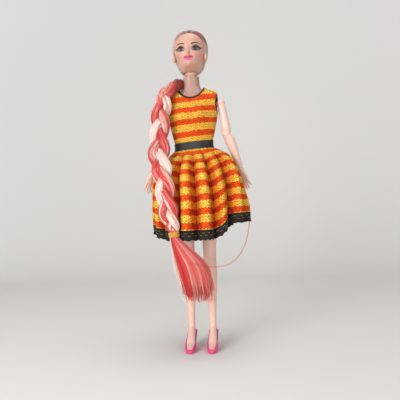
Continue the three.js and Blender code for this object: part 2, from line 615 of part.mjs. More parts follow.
// The arched foot, from the ankle to the toes; grow is the shoe's clearance around it.
function footForm(grow) {
  const arch = tube([
    [0, 2.4, ANKLE_Z, 3.2 + grow, 3.2 + grow],
    [0, 2.2, 20, 3.2 + grow, 3.6 + grow],
    [0, 0.4, 15.4, 3.3 + grow, 4.3 + grow],
    [0, -5.4, 10.4, 3.5 + grow, 3.7 + grow],
    [0, -11.6, 5.6, 4.0 + grow, 2.7 + grow],
    [0, -17, 3.7, 3.5 + grow, 1.9 + grow],
    [0, -19.4, 3.3, 2.0 + grow, 1.2 + grow],
  ], 12)(8);
  return arch.add(ball(1, 10).scale([3 + grow, 3.4 + grow, 3.7 + grow]).translate([0, 3.9, 15.4]));
}

// A plain pump: sole, heel, toe cap and low sides.
function buildShoe() {
  const section = ([y, half, low, high]) => {
    const middle = (low + high) / 2;
    const tall = (high - low) / 2;
    return ring(0, 0, 0, half, tall, tall, 12, 2.6).map((p) => vec(p.x, y, middle + p.y));
  };
  const body = loft([
    [-21.2, 1.5, 0.5, 3.0],
    [-19.8, 3.2, -0.2, 4.6],
    [-16, 4.7, -0.5, 6.8],
    [-11.5, 5.1, -0.4, 9.4],
    [-7, 4.6, 2.6, 12],
    [-2, 4.4, 6.2, 15],
    [3, 4.4, 9, 18],
    [6.8, 4.2, 10.2, 19],
    [8.4, 2.6, 11.4, 18],
  ].map(section));
  const heel = loft([
    ring(0, 6.1, 0, 1.5, 1.4, 1.5, 14),
    ring(0, 5.8, 6, 1.9, 1.8, 1.9, 14),
    ring(0, 5.0, 11.5, 3.1, 2.9, 3.0, 14),
  ]);
  const top = vec(0, 0.4, -1).normalize();
  const edge = vec(0, -11.2, 7.2);
  return body.trimByPlane([0, 0, 1], 0).trimByPlane(top.toArray(), top.dot(edge))
    .add(heel).subtract(footForm(SKIN_GAP));
}

function buildLegs() {
  const turn = [0, 0, -90];
  const back = [0, 0, 90];
  const toKnee = [-KNEE_X, -KNEE_Y, -KNEE_Z];
  const z = (drop) => HIP_Z - drop;
  const upper = limb([
    [z(0), HIP_X, 0, 9.3],
    [z(6), HIP_X - 0.2, 0.2, 9.9],
    [z(13), HIP_X - 0.5, 0.2, 9.6],
    [z(26), HIP_X - 1.2, 0, 8.8],
    [z(40), HIP_X - 2, -0.2, 7.7],
    [z(53), HIP_X - 2.7, -0.4, 6.8],
    [z(64), HIP_X - 3.1, -0.5, 6.2],
    [z(74), KNEE_X, KNEE_Y, 5.9],
  ]).translate(toKnee).rotate(turn);
  const k = (share) => -share * (KNEE_Z - ANKLE_Z);
  const shin = limb([
    [4, 0, 0, 5.8],
    [k(0.07), 0, 0, 5.9],
    [k(0.2), 0, 1.0, 6.0],
    [k(0.34), 0, 1.9, 6.1],
    [k(0.54), 0, 2.4, 5.3],
    [k(0.78), 0, 2.7, 4.0],
    [k(0.98), 0, 2.9, 3.3],
    [k(1.035), 0, 2.9, 3.2],
  ]).rotate(turn);
  const parts = hinge(upper, shin, {
    knuckle: 5.9, width: 5.9, tongue: LEG_TONGUE, pin: LEG_PIN, share: 33, straight: 88, backward: 2,
  });
  const foot = footForm(0);
  const knee = [KNEE_X, KNEE_Y, KNEE_Z];
  const hip = [HIP_X, 0, HIP_Z];
  const thigh = parts.fork.rotate(back).translate(knee).translate([-HIP_X, 0, -HIP_Z])
    .add(ball(HIP_BALL, 16))
    .subtract(tongueSlot(HIP_BALL, HIP_SHAFT, HIP_TONGUE, 15))
    .subtract(rod('y', 26, HIP_PIN + PIN_FIT));
  const disc = swingDisc({
    disc: HIP_SHAFT, thick: 0.6, shaft: HIP_SHAFT, reach: HIP_X - HIP_BALL - 0.9 - 0.15, ballRadius: HIP_BALL,
    tongue: HIP_TONGUE, pin: HIP_PIN,
  });
  addPair('hip_disc', disc.translate(hip), 'skin');
  addPair('hip_pin', rod('y', 2 * HIP_BALL - 1, HIP_PIN).translate(hip), 'skin');
  addPair('thigh', thigh.translate(hip), 'skin');
  addPair('knee_pin', parts.pin.rotate(back).translate(knee), 'skin');
  addPair('shin_and_foot', parts.arm.rotate(back).translate(knee).add(foot.translate([KNEE_X, 0, 0])), 'skin');
  addPair('shoe', buildShoe().translate([KNEE_X, 0, 0]), 'shoe');
}

const BAND_LOW = WAIST_Z - 5;
const BAND_HIGH = WAIST_Z + 1.6;

// Bodice with its edge bindings, the waistband and the closure at the back.
function buildBodice() {
  const outer = trunkForm(BAND_HIGH + PART_GAP, SHOULDER_Z + 15, SKIN_GAP + CLOTH);
  const inner = trunkForm(BAND_HIGH - 2, SHOULDER_Z + 18, SKIN_GAP);
  const garment = outer.subtract(inner);
  const scoop = (radius) => rod('y', 60, radius, undefined, 18)
    .rotate([5, 0, 0])
    .translate([0, 0, SHOULDER_Z + 19]);
  const armhole = (radius) => rod('x', 24, 1, undefined, 16)
    .scale([1, radius, radius * 1.22])
    .translate([SHOULDER_X, 0, SHOULDER_Z - 1]);
  const edge = 1.5;
  const neck = 12;
  const arm = 5.5;
  const bothArms = (radius) => armhole(radius).add(armhole(radius).mirror([1, 0, 0]));
  const largest = (solid) => solid.decompose().sort((a, b) => b.volume() - a.volume())[0];
  add('bodice', largest(garment.subtract(scoop(neck + edge)).subtract(bothArms(arm + edge))), 'knit');
  const neckBand = garment.intersect(scoop(neck + edge - PART_GAP))
    .subtract(scoop(neck))
    .subtract(bothArms(arm + edge));
  add('neckline_binding', largest(neckBand), 'trim');
  const armBand = garment.intersect(armhole(arm + edge - PART_GAP))
    .subtract(armhole(arm))
    .subtract(scoop(neck + edge));
  addPair('armhole_binding', largest(armBand), 'trim');
  const band = trunkForm(BAND_LOW, BAND_HIGH, SKIN_GAP + 1.9)
    .subtract(trunkForm(BAND_LOW - 1, BAND_HIGH + 1, SKIN_GAP));
  add('waistband', band, 'trim');
  const overlap = SKIN_GAP + CLOTH + PART_GAP;
  const tapeLow = BAND_HIGH + 1;
  const tapeHigh = SHOULDER_Z + 5;
  const tape = trunkForm(tapeLow, tapeHigh, overlap + 0.9)
    .subtract(trunkForm(tapeLow - 1, tapeHigh + 1, overlap))
    .intersect(box(6, 30, 80).translate([0, 15, SHOULDER_Z - 15]));
  add('back_closure', tape, 'tape');
}

// The skirt's half width and depth down its length.
const skirtSize = profile([
  [0, 17.5, 11.2],
  [0.06, 22.0, 14.6],
  [0.12, 27.2, 18.8],
  [0.21, 32.6, 24.6],
  [0.33, 37.2, 29.8],
  [0.5, 40.0, 33.4],
  [0.67, 41.6, 35.6],
  [0.84, 42.2, 36.8],
  [1, 42.2, 37.2],
  [1.12, 41.8, 37.0],
]);
const PLEATS = 16;
const SKIRT_TOP = BAND_LOW - PART_GAP;
const COLUMNS = 4 * PLEATS;
const SKIRT_FORWARD = 3;
const SKIRT_ASIDE = 3.6;
const DRAPE_RISE = 12;
const DEEP_FOLD = 3;
const HAND_PRESS = 10.5;

const ease = (t) => THREE.MathUtils.smoothstep(t, 0, 1);
const bump = (t) => Math.exp(-t * t);

// A point of the skirt: round is the share of a turn, down is the share of the length.
// Narrow valleys part the wide pleats, the cloth rises over the left hip and the left hand presses it in.
function skirtPoint(round, down, grow) {
  const [wide, deep] = skirtSize(down);
  const a = round * 2 * Math.PI;
  const turn = a > Math.PI ? a - 2 * Math.PI : a;
  const crown = (1 - Math.cos(PLEATS * a)) / 2;
  const pleat = (2 * crown ** 0.65 - 1) * (0.5 + 2.3 * Math.min(1, 2 * down));
  const drift = 0.5 * Math.sin(3 * a + 1) * down;
  const deepFold = DEEP_FOLD * bump((turn + 0.87) / 0.16) * Math.min(1, 3 * down);
  const pressed = HAND_PRESS * bump((turn - 0.25) / 0.55) * ease(down / 0.45) * (1 - 0.85 * ease((down - 0.5) / 0.5));
  const size = pleat + drift + grow - pressed - deepFold;
  const rising = ease((turn + 1.22) / 0.5) * (1 - ease((turn - 0.5) / 1.1));
  const rise = DRAPE_RISE * rising * Math.sin(Math.min(1, down / 0.65) * Math.PI / 2);
  const x = SKIRT_ASIDE * Math.min(1, 1.6 * down) + (wide + size) * Math.cos(a);
  const y = (deep + size) * Math.sin(a) - SKIRT_FORWARD * Math.min(1, 2 * down);
  return vec(x, y, SKIRT_TOP - SKIRT_LENGTH * down + rise + 1.2 * Math.cos(a + 0.4) * down);
}
const skirtRing = (down, grow) => steps(0, 1, COLUMNS).slice(0, COLUMNS).map((u) => skirtPoint(u, down, grow));

function buildSkirt() {
  const rows = [0, 0.08, 0.18, 0.32, 0.54, 0.78, 1];
  add('skirt', cloth(rows.map((d) => skirtRing(d, CLOTH)), rows.map((d) => skirtRing(d, 0))), 'knit');
  const hemTop = 1 + PART_GAP / SKIRT_LENGTH;
  const hemRows = [hemTop, hemTop + 0.6 * HEM_DEPTH / SKIRT_LENGTH, hemTop + HEM_DEPTH / SKIRT_LENGTH];
  add('hem_trim', cloth(hemRows.map((d) => skirtRing(d, CLOTH)), hemRows.map((d) => skirtRing(d, 0.5))), 'trim');
}

buildTrunk();
buildHead();
buildHair();
buildArms();
buildLegs();
buildBodice();
buildSkirt();

export default group;
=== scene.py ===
import json
import math

import bpy
import numpy as np
from mathutils import Matrix, Vector
from mathutils.bvhtree import BVHTree


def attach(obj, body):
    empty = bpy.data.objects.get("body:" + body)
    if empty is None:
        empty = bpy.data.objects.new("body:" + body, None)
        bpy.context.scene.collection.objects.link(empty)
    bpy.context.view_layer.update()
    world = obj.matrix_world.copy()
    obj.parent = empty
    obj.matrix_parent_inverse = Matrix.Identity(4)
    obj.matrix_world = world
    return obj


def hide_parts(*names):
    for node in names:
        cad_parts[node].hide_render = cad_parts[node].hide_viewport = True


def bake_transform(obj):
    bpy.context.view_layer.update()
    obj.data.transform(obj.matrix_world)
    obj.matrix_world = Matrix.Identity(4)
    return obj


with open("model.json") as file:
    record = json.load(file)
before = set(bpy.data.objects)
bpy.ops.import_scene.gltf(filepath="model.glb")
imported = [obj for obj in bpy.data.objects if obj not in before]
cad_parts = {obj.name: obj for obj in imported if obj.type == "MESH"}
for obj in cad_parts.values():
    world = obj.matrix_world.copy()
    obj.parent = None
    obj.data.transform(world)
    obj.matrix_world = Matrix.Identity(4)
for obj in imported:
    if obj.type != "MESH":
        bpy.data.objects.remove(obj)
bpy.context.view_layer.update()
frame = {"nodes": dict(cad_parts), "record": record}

# Lengths are in millimetres and heights start at the shoe soles; the frame's origin is the waist.
MM = 0.001
WAIST_Z = 185.99
KNEE_Z = 85.0
HIP_Z = 157.0
SHOULDER_Z = 222.0
NOD_Z = 251.5
CHIN_Z = 250.0
TRUNK = 65.0
BODY_OF = {node: body for body, nodes in frame["record"]["behaviour"]["bodies"].items() for node in nodes}

# The camera looks level from a little to the doll's own left, and leans as the photograph does.
VIEW_TURN = math.radians(6.5)
VIEW_LEAN = math.radians(2.6)
VIEW_DISTANCE = 450
FRAME_WIDTH = 367
AIM = (3.1, 135)


def in_frame(x, y, z):
    """A place in the frame, in metres, from millimetres with its height above the soles."""
    return Vector((x * MM, y * MM, (z - WAIST_Z) * MM))


def placed(name, data):
    """A new object in the scene."""
    thing = bpy.data.objects.new(name, data)
    bpy.context.collection.objects.link(thing)
    return thing


def place_camera():
    data = bpy.data.cameras.new("camera")
    data.sensor_width = 36
    data.lens = 36 * VIEW_DISTANCE / FRAME_WIDTH
    camera = placed("camera", data)
    right = Vector((math.cos(VIEW_TURN), math.sin(VIEW_TURN), 0))
    back = Vector((math.sin(VIEW_TURN), -math.cos(VIEW_TURN), 0))
    aim = right * AIM[0] + Vector((0, 0, AIM[1] - WAIST_Z))
    turn = (-back).to_track_quat("-Z", "Y").to_matrix().to_4x4() @ Matrix.Rotation(-VIEW_LEAN, 4, "Z")
    camera.matrix_world = Matrix.Translation((aim + back * VIEW_DISTANCE) * MM) @ turn
    data.clip_start = 0.01
    bpy.context.scene.camera = camera


place_camera()


# Shapes in millimetres.


class Shape:
    """Points, faces and, for each face corner, a place on the surface in millimetres."""

    def __init__(self, points, faces, flow=None):
        self.points = np.asarray(points, float)
        self.faces = faces
        self.flow = flow

    def moved(self, x, y, z):
        return Shape(self.points + np.array([x, y, z]), self.faces, self.flow)

    def turned(self, axis, degrees):
        turn = np.array(Matrix.Rotation(math.radians(degrees), 3, axis))
        return Shape(self.points @ turn.T, self.faces, self.flow)

    def scaled(self, x, y, z):
        return Shape(self.points * np.array([x, y, z]), self.faces, self.flow)

    def mirrored(self):
        flow = None if self.flow is None else [corner[::-1] for corner in self.flow]
        return Shape(self.points * np.array([-1, 1, 1]), [face[::-1] for face in self.faces], flow)


def profile(rows):
    """Smooth values down a table whose first column is the key."""
    table = np.array(rows, float)
    keys, values = table[:, 0], table[:, 1:]

    def at(key):
        i = int(np.clip(np.searchsorted(keys, key) - 1, 0, len(keys) - 2))
        low, high = max(i - 1, 0), min(i + 2, len(keys) - 1)
        span = keys[i + 1] - keys[i]
        t = float(np.clip((key - keys[i]) / span, 0, 1))
        a, b = values[i], values[i + 1]
        m0 = span * (b - values[low]) / (keys[i + 1] - keys[low])
        m1 = span * (values[high] - a) / (keys[high] - keys[i])
        share = 3 * t**2 - 2 * t**3
        return (1 - share) * a + share * b + (t**3 - 2 * t**2 + t) * m0 + (t**3 - t**2) * m1

    return at


def smooth(a, b, x):
    t = np.clip((x - a) / (b - a), 0, 1)
    return t * t * (3 - 2 * t)


def unit(v):
    """Directions of length 1."""
    return v / np.linalg.norm(v, axis=-1, keepdims=True)


def half_turn(a):
    """Angles between half a turn back and half a turn on."""
    return (a + np.pi) % (2 * np.pi) - np.pi


def ring(x, y, z, half, front, back, n, power=2.0):
    a = np.linspace(0, 2 * np.pi, n, endpoint=False)
    c, s = np.cos(a), np.sin(a)
    bend = lambda v: np.sign(v) * np.abs(v) ** (2 / power)
    deep = np.where(s < 0, front, back)
    return np.column_stack([x + half * bend(c), y + deep * bend(s), np.full(n, float(z))])


def loft(rings, around=1.0, along=1.0):
    """Skins a row of rings, closes both ends, and notes how far round and along each corner lies."""
    rings = np.array(rings, float)
    count, n = rings.shape[:2]
    points = np.vstack([rings.reshape(-1, 3), rings[0].mean(0), rings[-1].mean(0)])
    faces, flow = [], []
    for r in range(count - 1):
        v0, v1 = along * r / (count - 1), along * (r + 1) / (count - 1)
        for i in range(n):
            j = (i + 1) % n
            faces.append([r * n + i, r * n + j, (r + 1) * n + j, (r + 1) * n + i])
            u0, u1 = around * i / n, around * (i + 1) / n
            flow.append([(u0, v0), (u1, v0), (u1, v1), (u0, v1)])
    last = (count - 1) * n
    for i in range(n):
        j = (i + 1) % n
        u0, u1 = around * i / n, around * (i + 1) / n
        faces += [[j, i, count * n], [last + i, last + j, count * n + 1]]
        flow += [[(u1, 0), (u0, 0), (u0, 0)], [(u0, along), (u1, along), (u0, along)]]
    return outward(Shape(points, faces, flow))


def outward(shape):
    volume = 0.0
    for face in shape.faces:
        a = shape.points[face[0]]
        for i in range(1, len(face) - 1):
            volume += float(a @ np.cross(shape.points[face[i]], shape.points[face[i + 1]]))
    if volume > 0:
        return shape
    flow = None if shape.flow is None else [corner[::-1] for corner in shape.flow]
    return Shape(shape.points, [face[::-1] for face in shape.faces], flow)


def cloth(outer, inner, across, lengths):
    """A panel of cloth from outer and inner rows, closed at its edges. across gives the flat place of each
    column and lengths that of each corner down it, in millimetres."""
    loop = np.array(list(outer) + list(inner)[::-1], float)
    rows, n = loop.shape[:2]
    v = list(lengths) + list(lengths)[::-1]
    faces, flow = [], []
    for r in range(rows):
        s = (r + 1) % rows
        for i in range(n - 1):
            j = i + 1
            faces.append([r * n + i, r * n + j, s * n + j, s * n + i])
            flow.append([(across[c], v[row][c]) for row, c in ((r, i), (r, j), (s, j), (s, i))])
    for r in range(rows // 2 - 1):
        under = rows - 1 - r
        for i, step in ((0, 1), (n - 1, -1)):
            corners = [(r, i), (r + 1, i), (under - 1, i), (under, i)][::step]
            faces.append([row * n + i for row, i in corners])
            flow.append([(across[i], v[row][i]) for row, i in corners])
    return outward(Shape(loop.reshape(-1, 3), faces, flow))


def curve_through(points, count):
    """Evenly spaced places on a smooth curve through points."""
    points = np.array(points, float)
    gaps = np.sqrt(np.linalg.norm(np.diff(points, axis=0), axis=1))
    keys = np.concatenate([[0], np.cumsum(gaps)])
    at = profile(np.column_stack([keys, points]))
    return np.array([at(k) for k in np.linspace(0, keys[-1], count)])


def along_path(path, sizes, n, twist=0.0, up=(0, 1, 0.01), ridges=0, depth=0.0):
    """Rings that follow a path; sizes gives each ring's width and height radius."""
    path = np.array(path, float)
    tangents = unit(np.gradient(path, axis=0))
    out = []
    for i, (at, along) in enumerate(zip(path, tangents)):
        side = unit(np.cross(along, up if np.ndim(up) == 1 else up[i]))
        high = np.cross(side, along)
        a = np.linspace(0, 2 * np.pi, n, endpoint=False)
        groove = 1 + depth * np.cos(ridges * a + twist * i) if ridges else 1.0
        wide, tall = sizes[i]
        out.append(at + np.outer(wide * groove * np.cos(a), side) + np.outer(tall * groove * np.sin(a), high))
    return out


def rod(axis, length, radius, n=32):
    disc = [ring(0, 0, z, radius, radius, radius, n) for z in (-length / 2, length / 2)]
    shape = loft(disc)
    return shape if axis == "z" else shape.turned("Y" if axis == "x" else "X", 90)


def ball(radius, n=40):
    rows = [radius * np.array([math.sin(t), math.cos(t)]) for t in np.linspace(0.02, math.pi - 0.02, n // 2)]
    return loft([ring(0, 0, z, r, r, r, n) for r, z in rows])


def box(x, y, z):
    corners = np.array([[-x, -y], [x, -y], [x, y], [-x, y]]) / 2
    return loft([np.column_stack([corners, np.full(4, h)]) for h in (-z / 2, z / 2)])


def under(normal, offset):
    """A block that fills everything below a plane."""
    normal = Vector(normal).normalized()
    turn = np.array(normal.to_track_quat("Z", "Y").to_matrix())
    block = box(300, 300, 300).moved(0, 0, -150)
    return Shape(block.points @ turn.T + np.array(normal) * offset, block.faces)


def to_mesh(shape):
    mesh = bpy.data.meshes.new("shape")
    mesh.from_pydata([tuple(p) for p in shape.points], [], shape.faces)
    return mesh


def evaluated(thing):
    """The mesh that a thing's modifiers make."""
    return bpy.data.meshes.new_from_object(thing.evaluated_get(bpy.context.evaluated_depsgraph_get()))


def as_shape(mesh):
    points = np.array([v.co for v in mesh.vertices]).reshape(-1, 3)
    return Shape(points, [list(p.vertices) for p in mesh.polygons])


def worked(base, *steps):
    """Joins, cuts or intersects a shape with others, in turn."""
    things = []
    for shape in [base] + [shape for _, shape in steps]:
        things.append(placed("work", to_mesh(shape)))
    for (how, _), tool in zip(steps, things[1:]):
        modifier = things[0].modifiers.new("work", "BOOLEAN")
        modifier.operation = {"join": "UNION", "cut": "DIFFERENCE", "keep": "INTERSECT"}[how]
        modifier.object = tool
        modifier.solver = "MANIFOLD"
    done = as_shape(evaluated(things[0]))
    for thing in things:
        bpy.data.objects.remove(thing)
    return done


def joined(*shapes):
    """Several separate shapes in one mesh."""
    points, faces, flow, start = [], [], [], 0
    for shape in shapes:
        points.append(shape.points)
        faces += [[i + start for i in face] for face in shape.faces]
        flow += shape.flow if shape.flow is not None else [[(0.0, 0.0)] * len(face) for face in shape.faces]
        start += len(shape.points)
    return Shape(np.vstack(points), faces, flow)


def wrapped(shape, radius, wide=1.0, deep=1.0):
    """Gives a shape a flat place by rolling it off an upright oval of that form; the seam is at the back."""
    flow = []
    for face in shape.faces:
        p = shape.points[face]
        a = np.arctan2(p[:, 0] / wide, -p[:, 1] / deep)
        centre = math.atan2(float(np.mean(p[:, 0])) / wide, -float(np.mean(p[:, 1])) / deep)
        a = centre + half_turn(a - centre)
        flow.append([(radius * float(x), float(z)) for x, z in zip(a, p[:, 2])])
    shape.flow = flow
    return shape


def piece(name, shape, finish, body, stands_for=(), slot=None, sharp=35, tint=None):
    """Makes a finished piece whose place is in its mesh, and says what it rides on and stands for."""
    mesh = bpy.data.meshes.new(name)
    mesh.from_pydata([tuple(p) for p in (shape.points - [0, 0, WAIST_Z]) * MM], [], shape.faces)
    if shape.flow is not None:
        layer = mesh.uv_layers.new(name="flow")
        layer.data.foreach_set("uv", np.array([c for corner in shape.flow for c in corner], float).ravel())
    if tint is not None:
        attribute = mesh.attributes.new("tint", "FLOAT", "POINT")
        attribute.data.foreach_set("value", np.asarray(tint, np.float32))
    mesh.validate()
    mesh.shade_smooth()
    mesh.set_sharp_from_angle(angle=math.radians(sharp))
    mesh.materials.append(finish)
    thing = placed(name, mesh)
    if body:
        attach(thing, body)
    if stands_for:
        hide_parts(*stands_for)
    return thing


# Finishes.


def paint(code):
    """A written sRGB colour as linear light."""
    parts = [int(code[i : i + 2], 16) / 255 for i in (1, 3, 5)]
    return tuple(c / 12.92 if c <= 0.04045 else ((c + 0.055) / 1.055) ** 2.4 for c in parts) + (1.0,)


def add(tree, kind, sockets=(), **settings):
    """Adds a node with its settings. sockets holds values and outputs, in order or by name, and a node there
    stands for its first output."""
    made = tree.nodes.new(kind)
    for key, value in settings.items():
        setattr(made, key, value)
    for key, value in sockets.items() if isinstance(sockets, dict) else enumerate(sockets):
        if isinstance(value, bpy.types.Node):
            value = value.outputs[0]
        if isinstance(value, bpy.types.NodeSocket):
            tree.links.new(value, made.inputs[key])
        else:
            made.inputs[key].default_value = value
    return made


def start_finish(name):
    material = bpy.data.materials.new(name)
    material.use_nodes = True
    tree = material.node_tree
    tree.nodes.clear()
    return material, tree


def end_finish(tree, **sockets):
    named = {key.replace("_", " "): value for key, value in sockets.items()}
    shader = add(tree, "ShaderNodeBsdfPrincipled", named)
    add(tree, "ShaderNodeOutputMaterial", {"Surface": shader.outputs["BSDF"]})


def hard_skin_plastic(name="moulded_skin_plastic", colour="#e2bcae", deep="#d8a899", roughness=0.3):
    """Injection-moulded ABS in a skin colour: satin, with the faint orange peel of a polished mould."""
    material, tree = start_finish(name)
    place = add(tree, "ShaderNodeTexCoord").outputs["Object"]
    cloud = add(tree, "ShaderNodeTexNoise", {"Vector": place, "Scale": 60, "Detail": 3}).outputs["Fac"]
    peel = add(tree, "ShaderNodeTexNoise", {"Vector": place, "Scale": 1400, "Detail": 2}).outputs["Fac"]
    bump = add(tree, "ShaderNodeBump", {"Height": peel, "Strength": 0.12, "Distance": 0.00005}).outputs[0]
    share = add(tree, "ShaderNodeMath", (cloud, 0.6), operation="MULTIPLY")
    tones = {0: share, 6: paint(colour), 7: paint(deep)}
    colour = add(tree, "ShaderNodeMix", tones, data_type="RGBA").outputs[2]
    rough = add(tree, "ShaderNodeMath", (cloud, 0.08, roughness - 0.04), operation="MULTIPLY_ADD").outputs[0]
    end_finish(tree, Base_Color=colour, Roughness=rough, Normal=bump, IOR=1.5)
    return material


def soft_spot(tree, place, centre, radius, strength):
    """A soft round spot at a place in millimetres from the soles, for airbrushed make-up and for painted
    shade.
    """
    away = add(tree, "ShaderNodeVectorMath", (place, in_frame(*centre)), operation="SUBTRACT")
    size = tuple(1 / (r * MM) for r in radius)
    scaled = add(tree, "ShaderNodeVectorMath", (away, size), operation="MULTIPLY")
    length = add(tree, "ShaderNodeVectorMath", (scaled,), operation="LENGTH").outputs["Value"]
    span = {"Value": length, "From Min": 1.0, "From Max": 0.2, "To Min": 0.0, "To Max": strength}
    return add(tree, "ShaderNodeMapRange", span, interpolation_type="SMOOTHSTEP").outputs["Result"]


def painted_vinyl():
    """Rotocast soft PVC with sprayed make-up on the cheeks and lids, and painted shade beside the nose and
    under the chin: satin, a little warmer and softer than the hard limbs.
    """
    material, tree = start_finish("soft_vinyl_make_up_and_painted_shade")
    place = add(tree, "ShaderNodeTexCoord").outputs["Object"]
    cloud = add(tree, "ShaderNodeTexNoise", {"Vector": place, "Scale": 55, "Detail": 3}).outputs["Fac"]
    share = add(tree, "ShaderNodeMath", (cloud, 0.5), operation="MULTIPLY")
    tones = {0: share, 6: paint("#c79b89"), 7: paint("#bb8976")}
    colour = add(tree, "ShaderNodeMix", tones, data_type="RGBA").outputs[2]
    spots = [
        ((9.7, -12.5, 264.5), (5.5, 8, 4.6), 0.34, "#d97f6c"),
        ((-9.7, -12.5, 264.5), (5.5, 8, 4.6), 0.34, "#d97f6c"),
        ((6.4, -15, 271.8), (5.6, 8, 3.4), 0.6, "#7d5456"),
        ((-6.4, -15, 271.8), (5.6, 8, 3.4), 0.6, "#7d5456"),
        ((10.4, -13, 269.8), (3.6, 8, 2.6), 0.45, "#6c4a4c"),
        ((-10.4, -13, 269.8), (3.6, 8, 2.6), 0.45, "#6c4a4c"),
        # Painted shade: a shadow at the nose's right side, and a darker band across the chin and under it.
        ((1.1, -17, 266.0), (2.2, 5, 3.4), 0.4, "#a35a48"),
        ((0.2, -14, 255.0), (12.0, 12, 3.6), 0.3, "#a9654f"),
    ]
    for centre, radius, strength, tone in spots:
        tones = {0: soft_spot(tree, place, centre, radius, strength), 6: colour, 7: paint(tone)}
        colour = add(tree, "ShaderNodeMix", tones, data_type="RGBA").outputs[2]
    grain = add(tree, "ShaderNodeTexNoise", {"Vector": place, "Scale": 1600, "Detail": 2}).outputs["Fac"]
    bump = add(tree, "ShaderNodeBump", {"Height": grain, "Strength": 0.15, "Distance": 0.00005}).outputs[0]
    end_finish(tree, Base_Color=colour, Roughness=0.42, Normal=bump, IOR=1.5)
    return material


def face_paint(name, colour, roughness, coat=0.0):
    """Tampo-printed enamel: thin and even, with a slightly mottled edge-to-edge tone."""
    material, tree = start_finish(name)
    place = add(tree, "ShaderNodeTexCoord").outputs["Object"]
    mottle = add(tree, "ShaderNodeTexNoise", {"Vector": place, "Scale": 900, "Detail": 2}).outputs["Fac"]
    dark = tuple(c * 0.8 for c in paint(colour)[:3]) + (1.0,)
    share = add(tree, "ShaderNodeMath", (mottle, 0.5), operation="MULTIPLY")
    tone = add(tree, "ShaderNodeMix", {0: share, 6: paint(colour), 7: dark}, data_type="RGBA").outputs[2]
    end_finish(tree, Base_Color=tone, Roughness=roughness, Coat_Weight=coat, Coat_Roughness=0.08)
    return material


def iris_paint():
    """Printed iris: rays from a pale middle to a dark rim."""
    material, tree = start_finish("printed_iris")
    flow = add(tree, "ShaderNodeUVMap", uv_map="flow")
    parts = add(tree, "ShaderNodeSeparateXYZ", (flow,))
    rays = add(tree, "ShaderNodeTexNoise", {"Vector": flow, "Scale": 9, "Detail": 3}).outputs["Fac"]
    share = add(tree, "ShaderNodeMath", (rays, 0.5, -0.4), operation="MULTIPLY_ADD")
    share = add(tree, "ShaderNodeMath", (parts.outputs["Y"], share), operation="ADD").outputs[0]
    ramp = add(tree, "ShaderNodeValToRGB", {"Fac": share})
    ramp.color_ramp.elements[0].color = paint("#5e5a5a")
    ramp.color_ramp.elements[1].color = paint("#161515")
    end_finish(tree, Base_Color=ramp.outputs["Color"], Roughness=0.15, Coat_Weight=0.6, Coat_Roughness=0.05)
    return material


def doll_hair(name, tones, streaks=6.0, roughness=0.34):
    """Nylon doll hair: fine parallel fibres with a silky, streaked shine. tones are (place, colour) stops."""
    material, tree = start_finish(name)
    flow = add(tree, "ShaderNodeUVMap", uv_map="flow")
    parts = add(tree, "ShaderNodeSeparateXYZ", (flow,))
    tint = add(tree, "ShaderNodeAttribute", attribute_name="tint").outputs["Fac"]
    # Flow X runs round the lock and flow Y along it, in millimetres; fibres are drawn 0.25 mm apart to show.
    along = add(tree, "ShaderNodeMath", (parts.outputs["Y"], 0.06), operation="MULTIPLY")
    lock = add(tree, "ShaderNodeMath", (tint, 37.0), operation="MULTIPLY")
    place = add(tree, "ShaderNodeCombineXYZ", (parts.outputs["X"], along, lock))
    wide = add(tree, "ShaderNodeTexNoise", {"Vector": place, "Scale": 0.55, "Detail": 2}).outputs["Fac"]
    fine = add(tree, "ShaderNodeTexNoise", {"Vector": place, "Scale": 3.6, "Detail": 4}).outputs["Fac"]
    streak = add(tree, "ShaderNodeMath", (wide, 0.06 * streaks, -0.03 * streaks), operation="MULTIPLY_ADD")
    share = add(tree, "ShaderNodeMath", (tint, streak), operation="ADD")
    streak = add(tree, "ShaderNodeMath", (fine, 0.05 * streaks, -0.025 * streaks), operation="MULTIPLY_ADD")
    share = add(tree, "ShaderNodeMath", (share, streak), operation="ADD").outputs[0]
    ramp = add(tree, "ShaderNodeValToRGB", {"Fac": share})
    ramp.color_ramp.elements[0].position = tones[0][0]
    ramp.color_ramp.elements[0].color = paint(tones[0][1])
    ramp.color_ramp.elements[1].position = tones[-1][0]
    ramp.color_ramp.elements[1].color = paint(tones[-1][1])
    for where, code in tones[1:-1]:
        ramp.color_ramp.elements.new(where).color = paint(code)
    span = {"Value": fine, "From Min": 0.25, "From Max": 0.75, "To Min": 0.62, "To Max": 1.12}
    shade = add(tree, "ShaderNodeMapRange", span).outputs["Result"]
    colour = add(tree, "ShaderNodeVectorMath", {0: ramp.outputs["Color"], 3: shade}, operation="SCALE")
    bump = add(tree, "ShaderNodeBump", {"Height": fine, "Strength": 0.55, "Distance": 0.00025}).outputs[0]
    end_finish(tree, Base_Color=colour.outputs[0], Roughness=roughness, Normal=bump, Anisotropic=0.5)
    return material


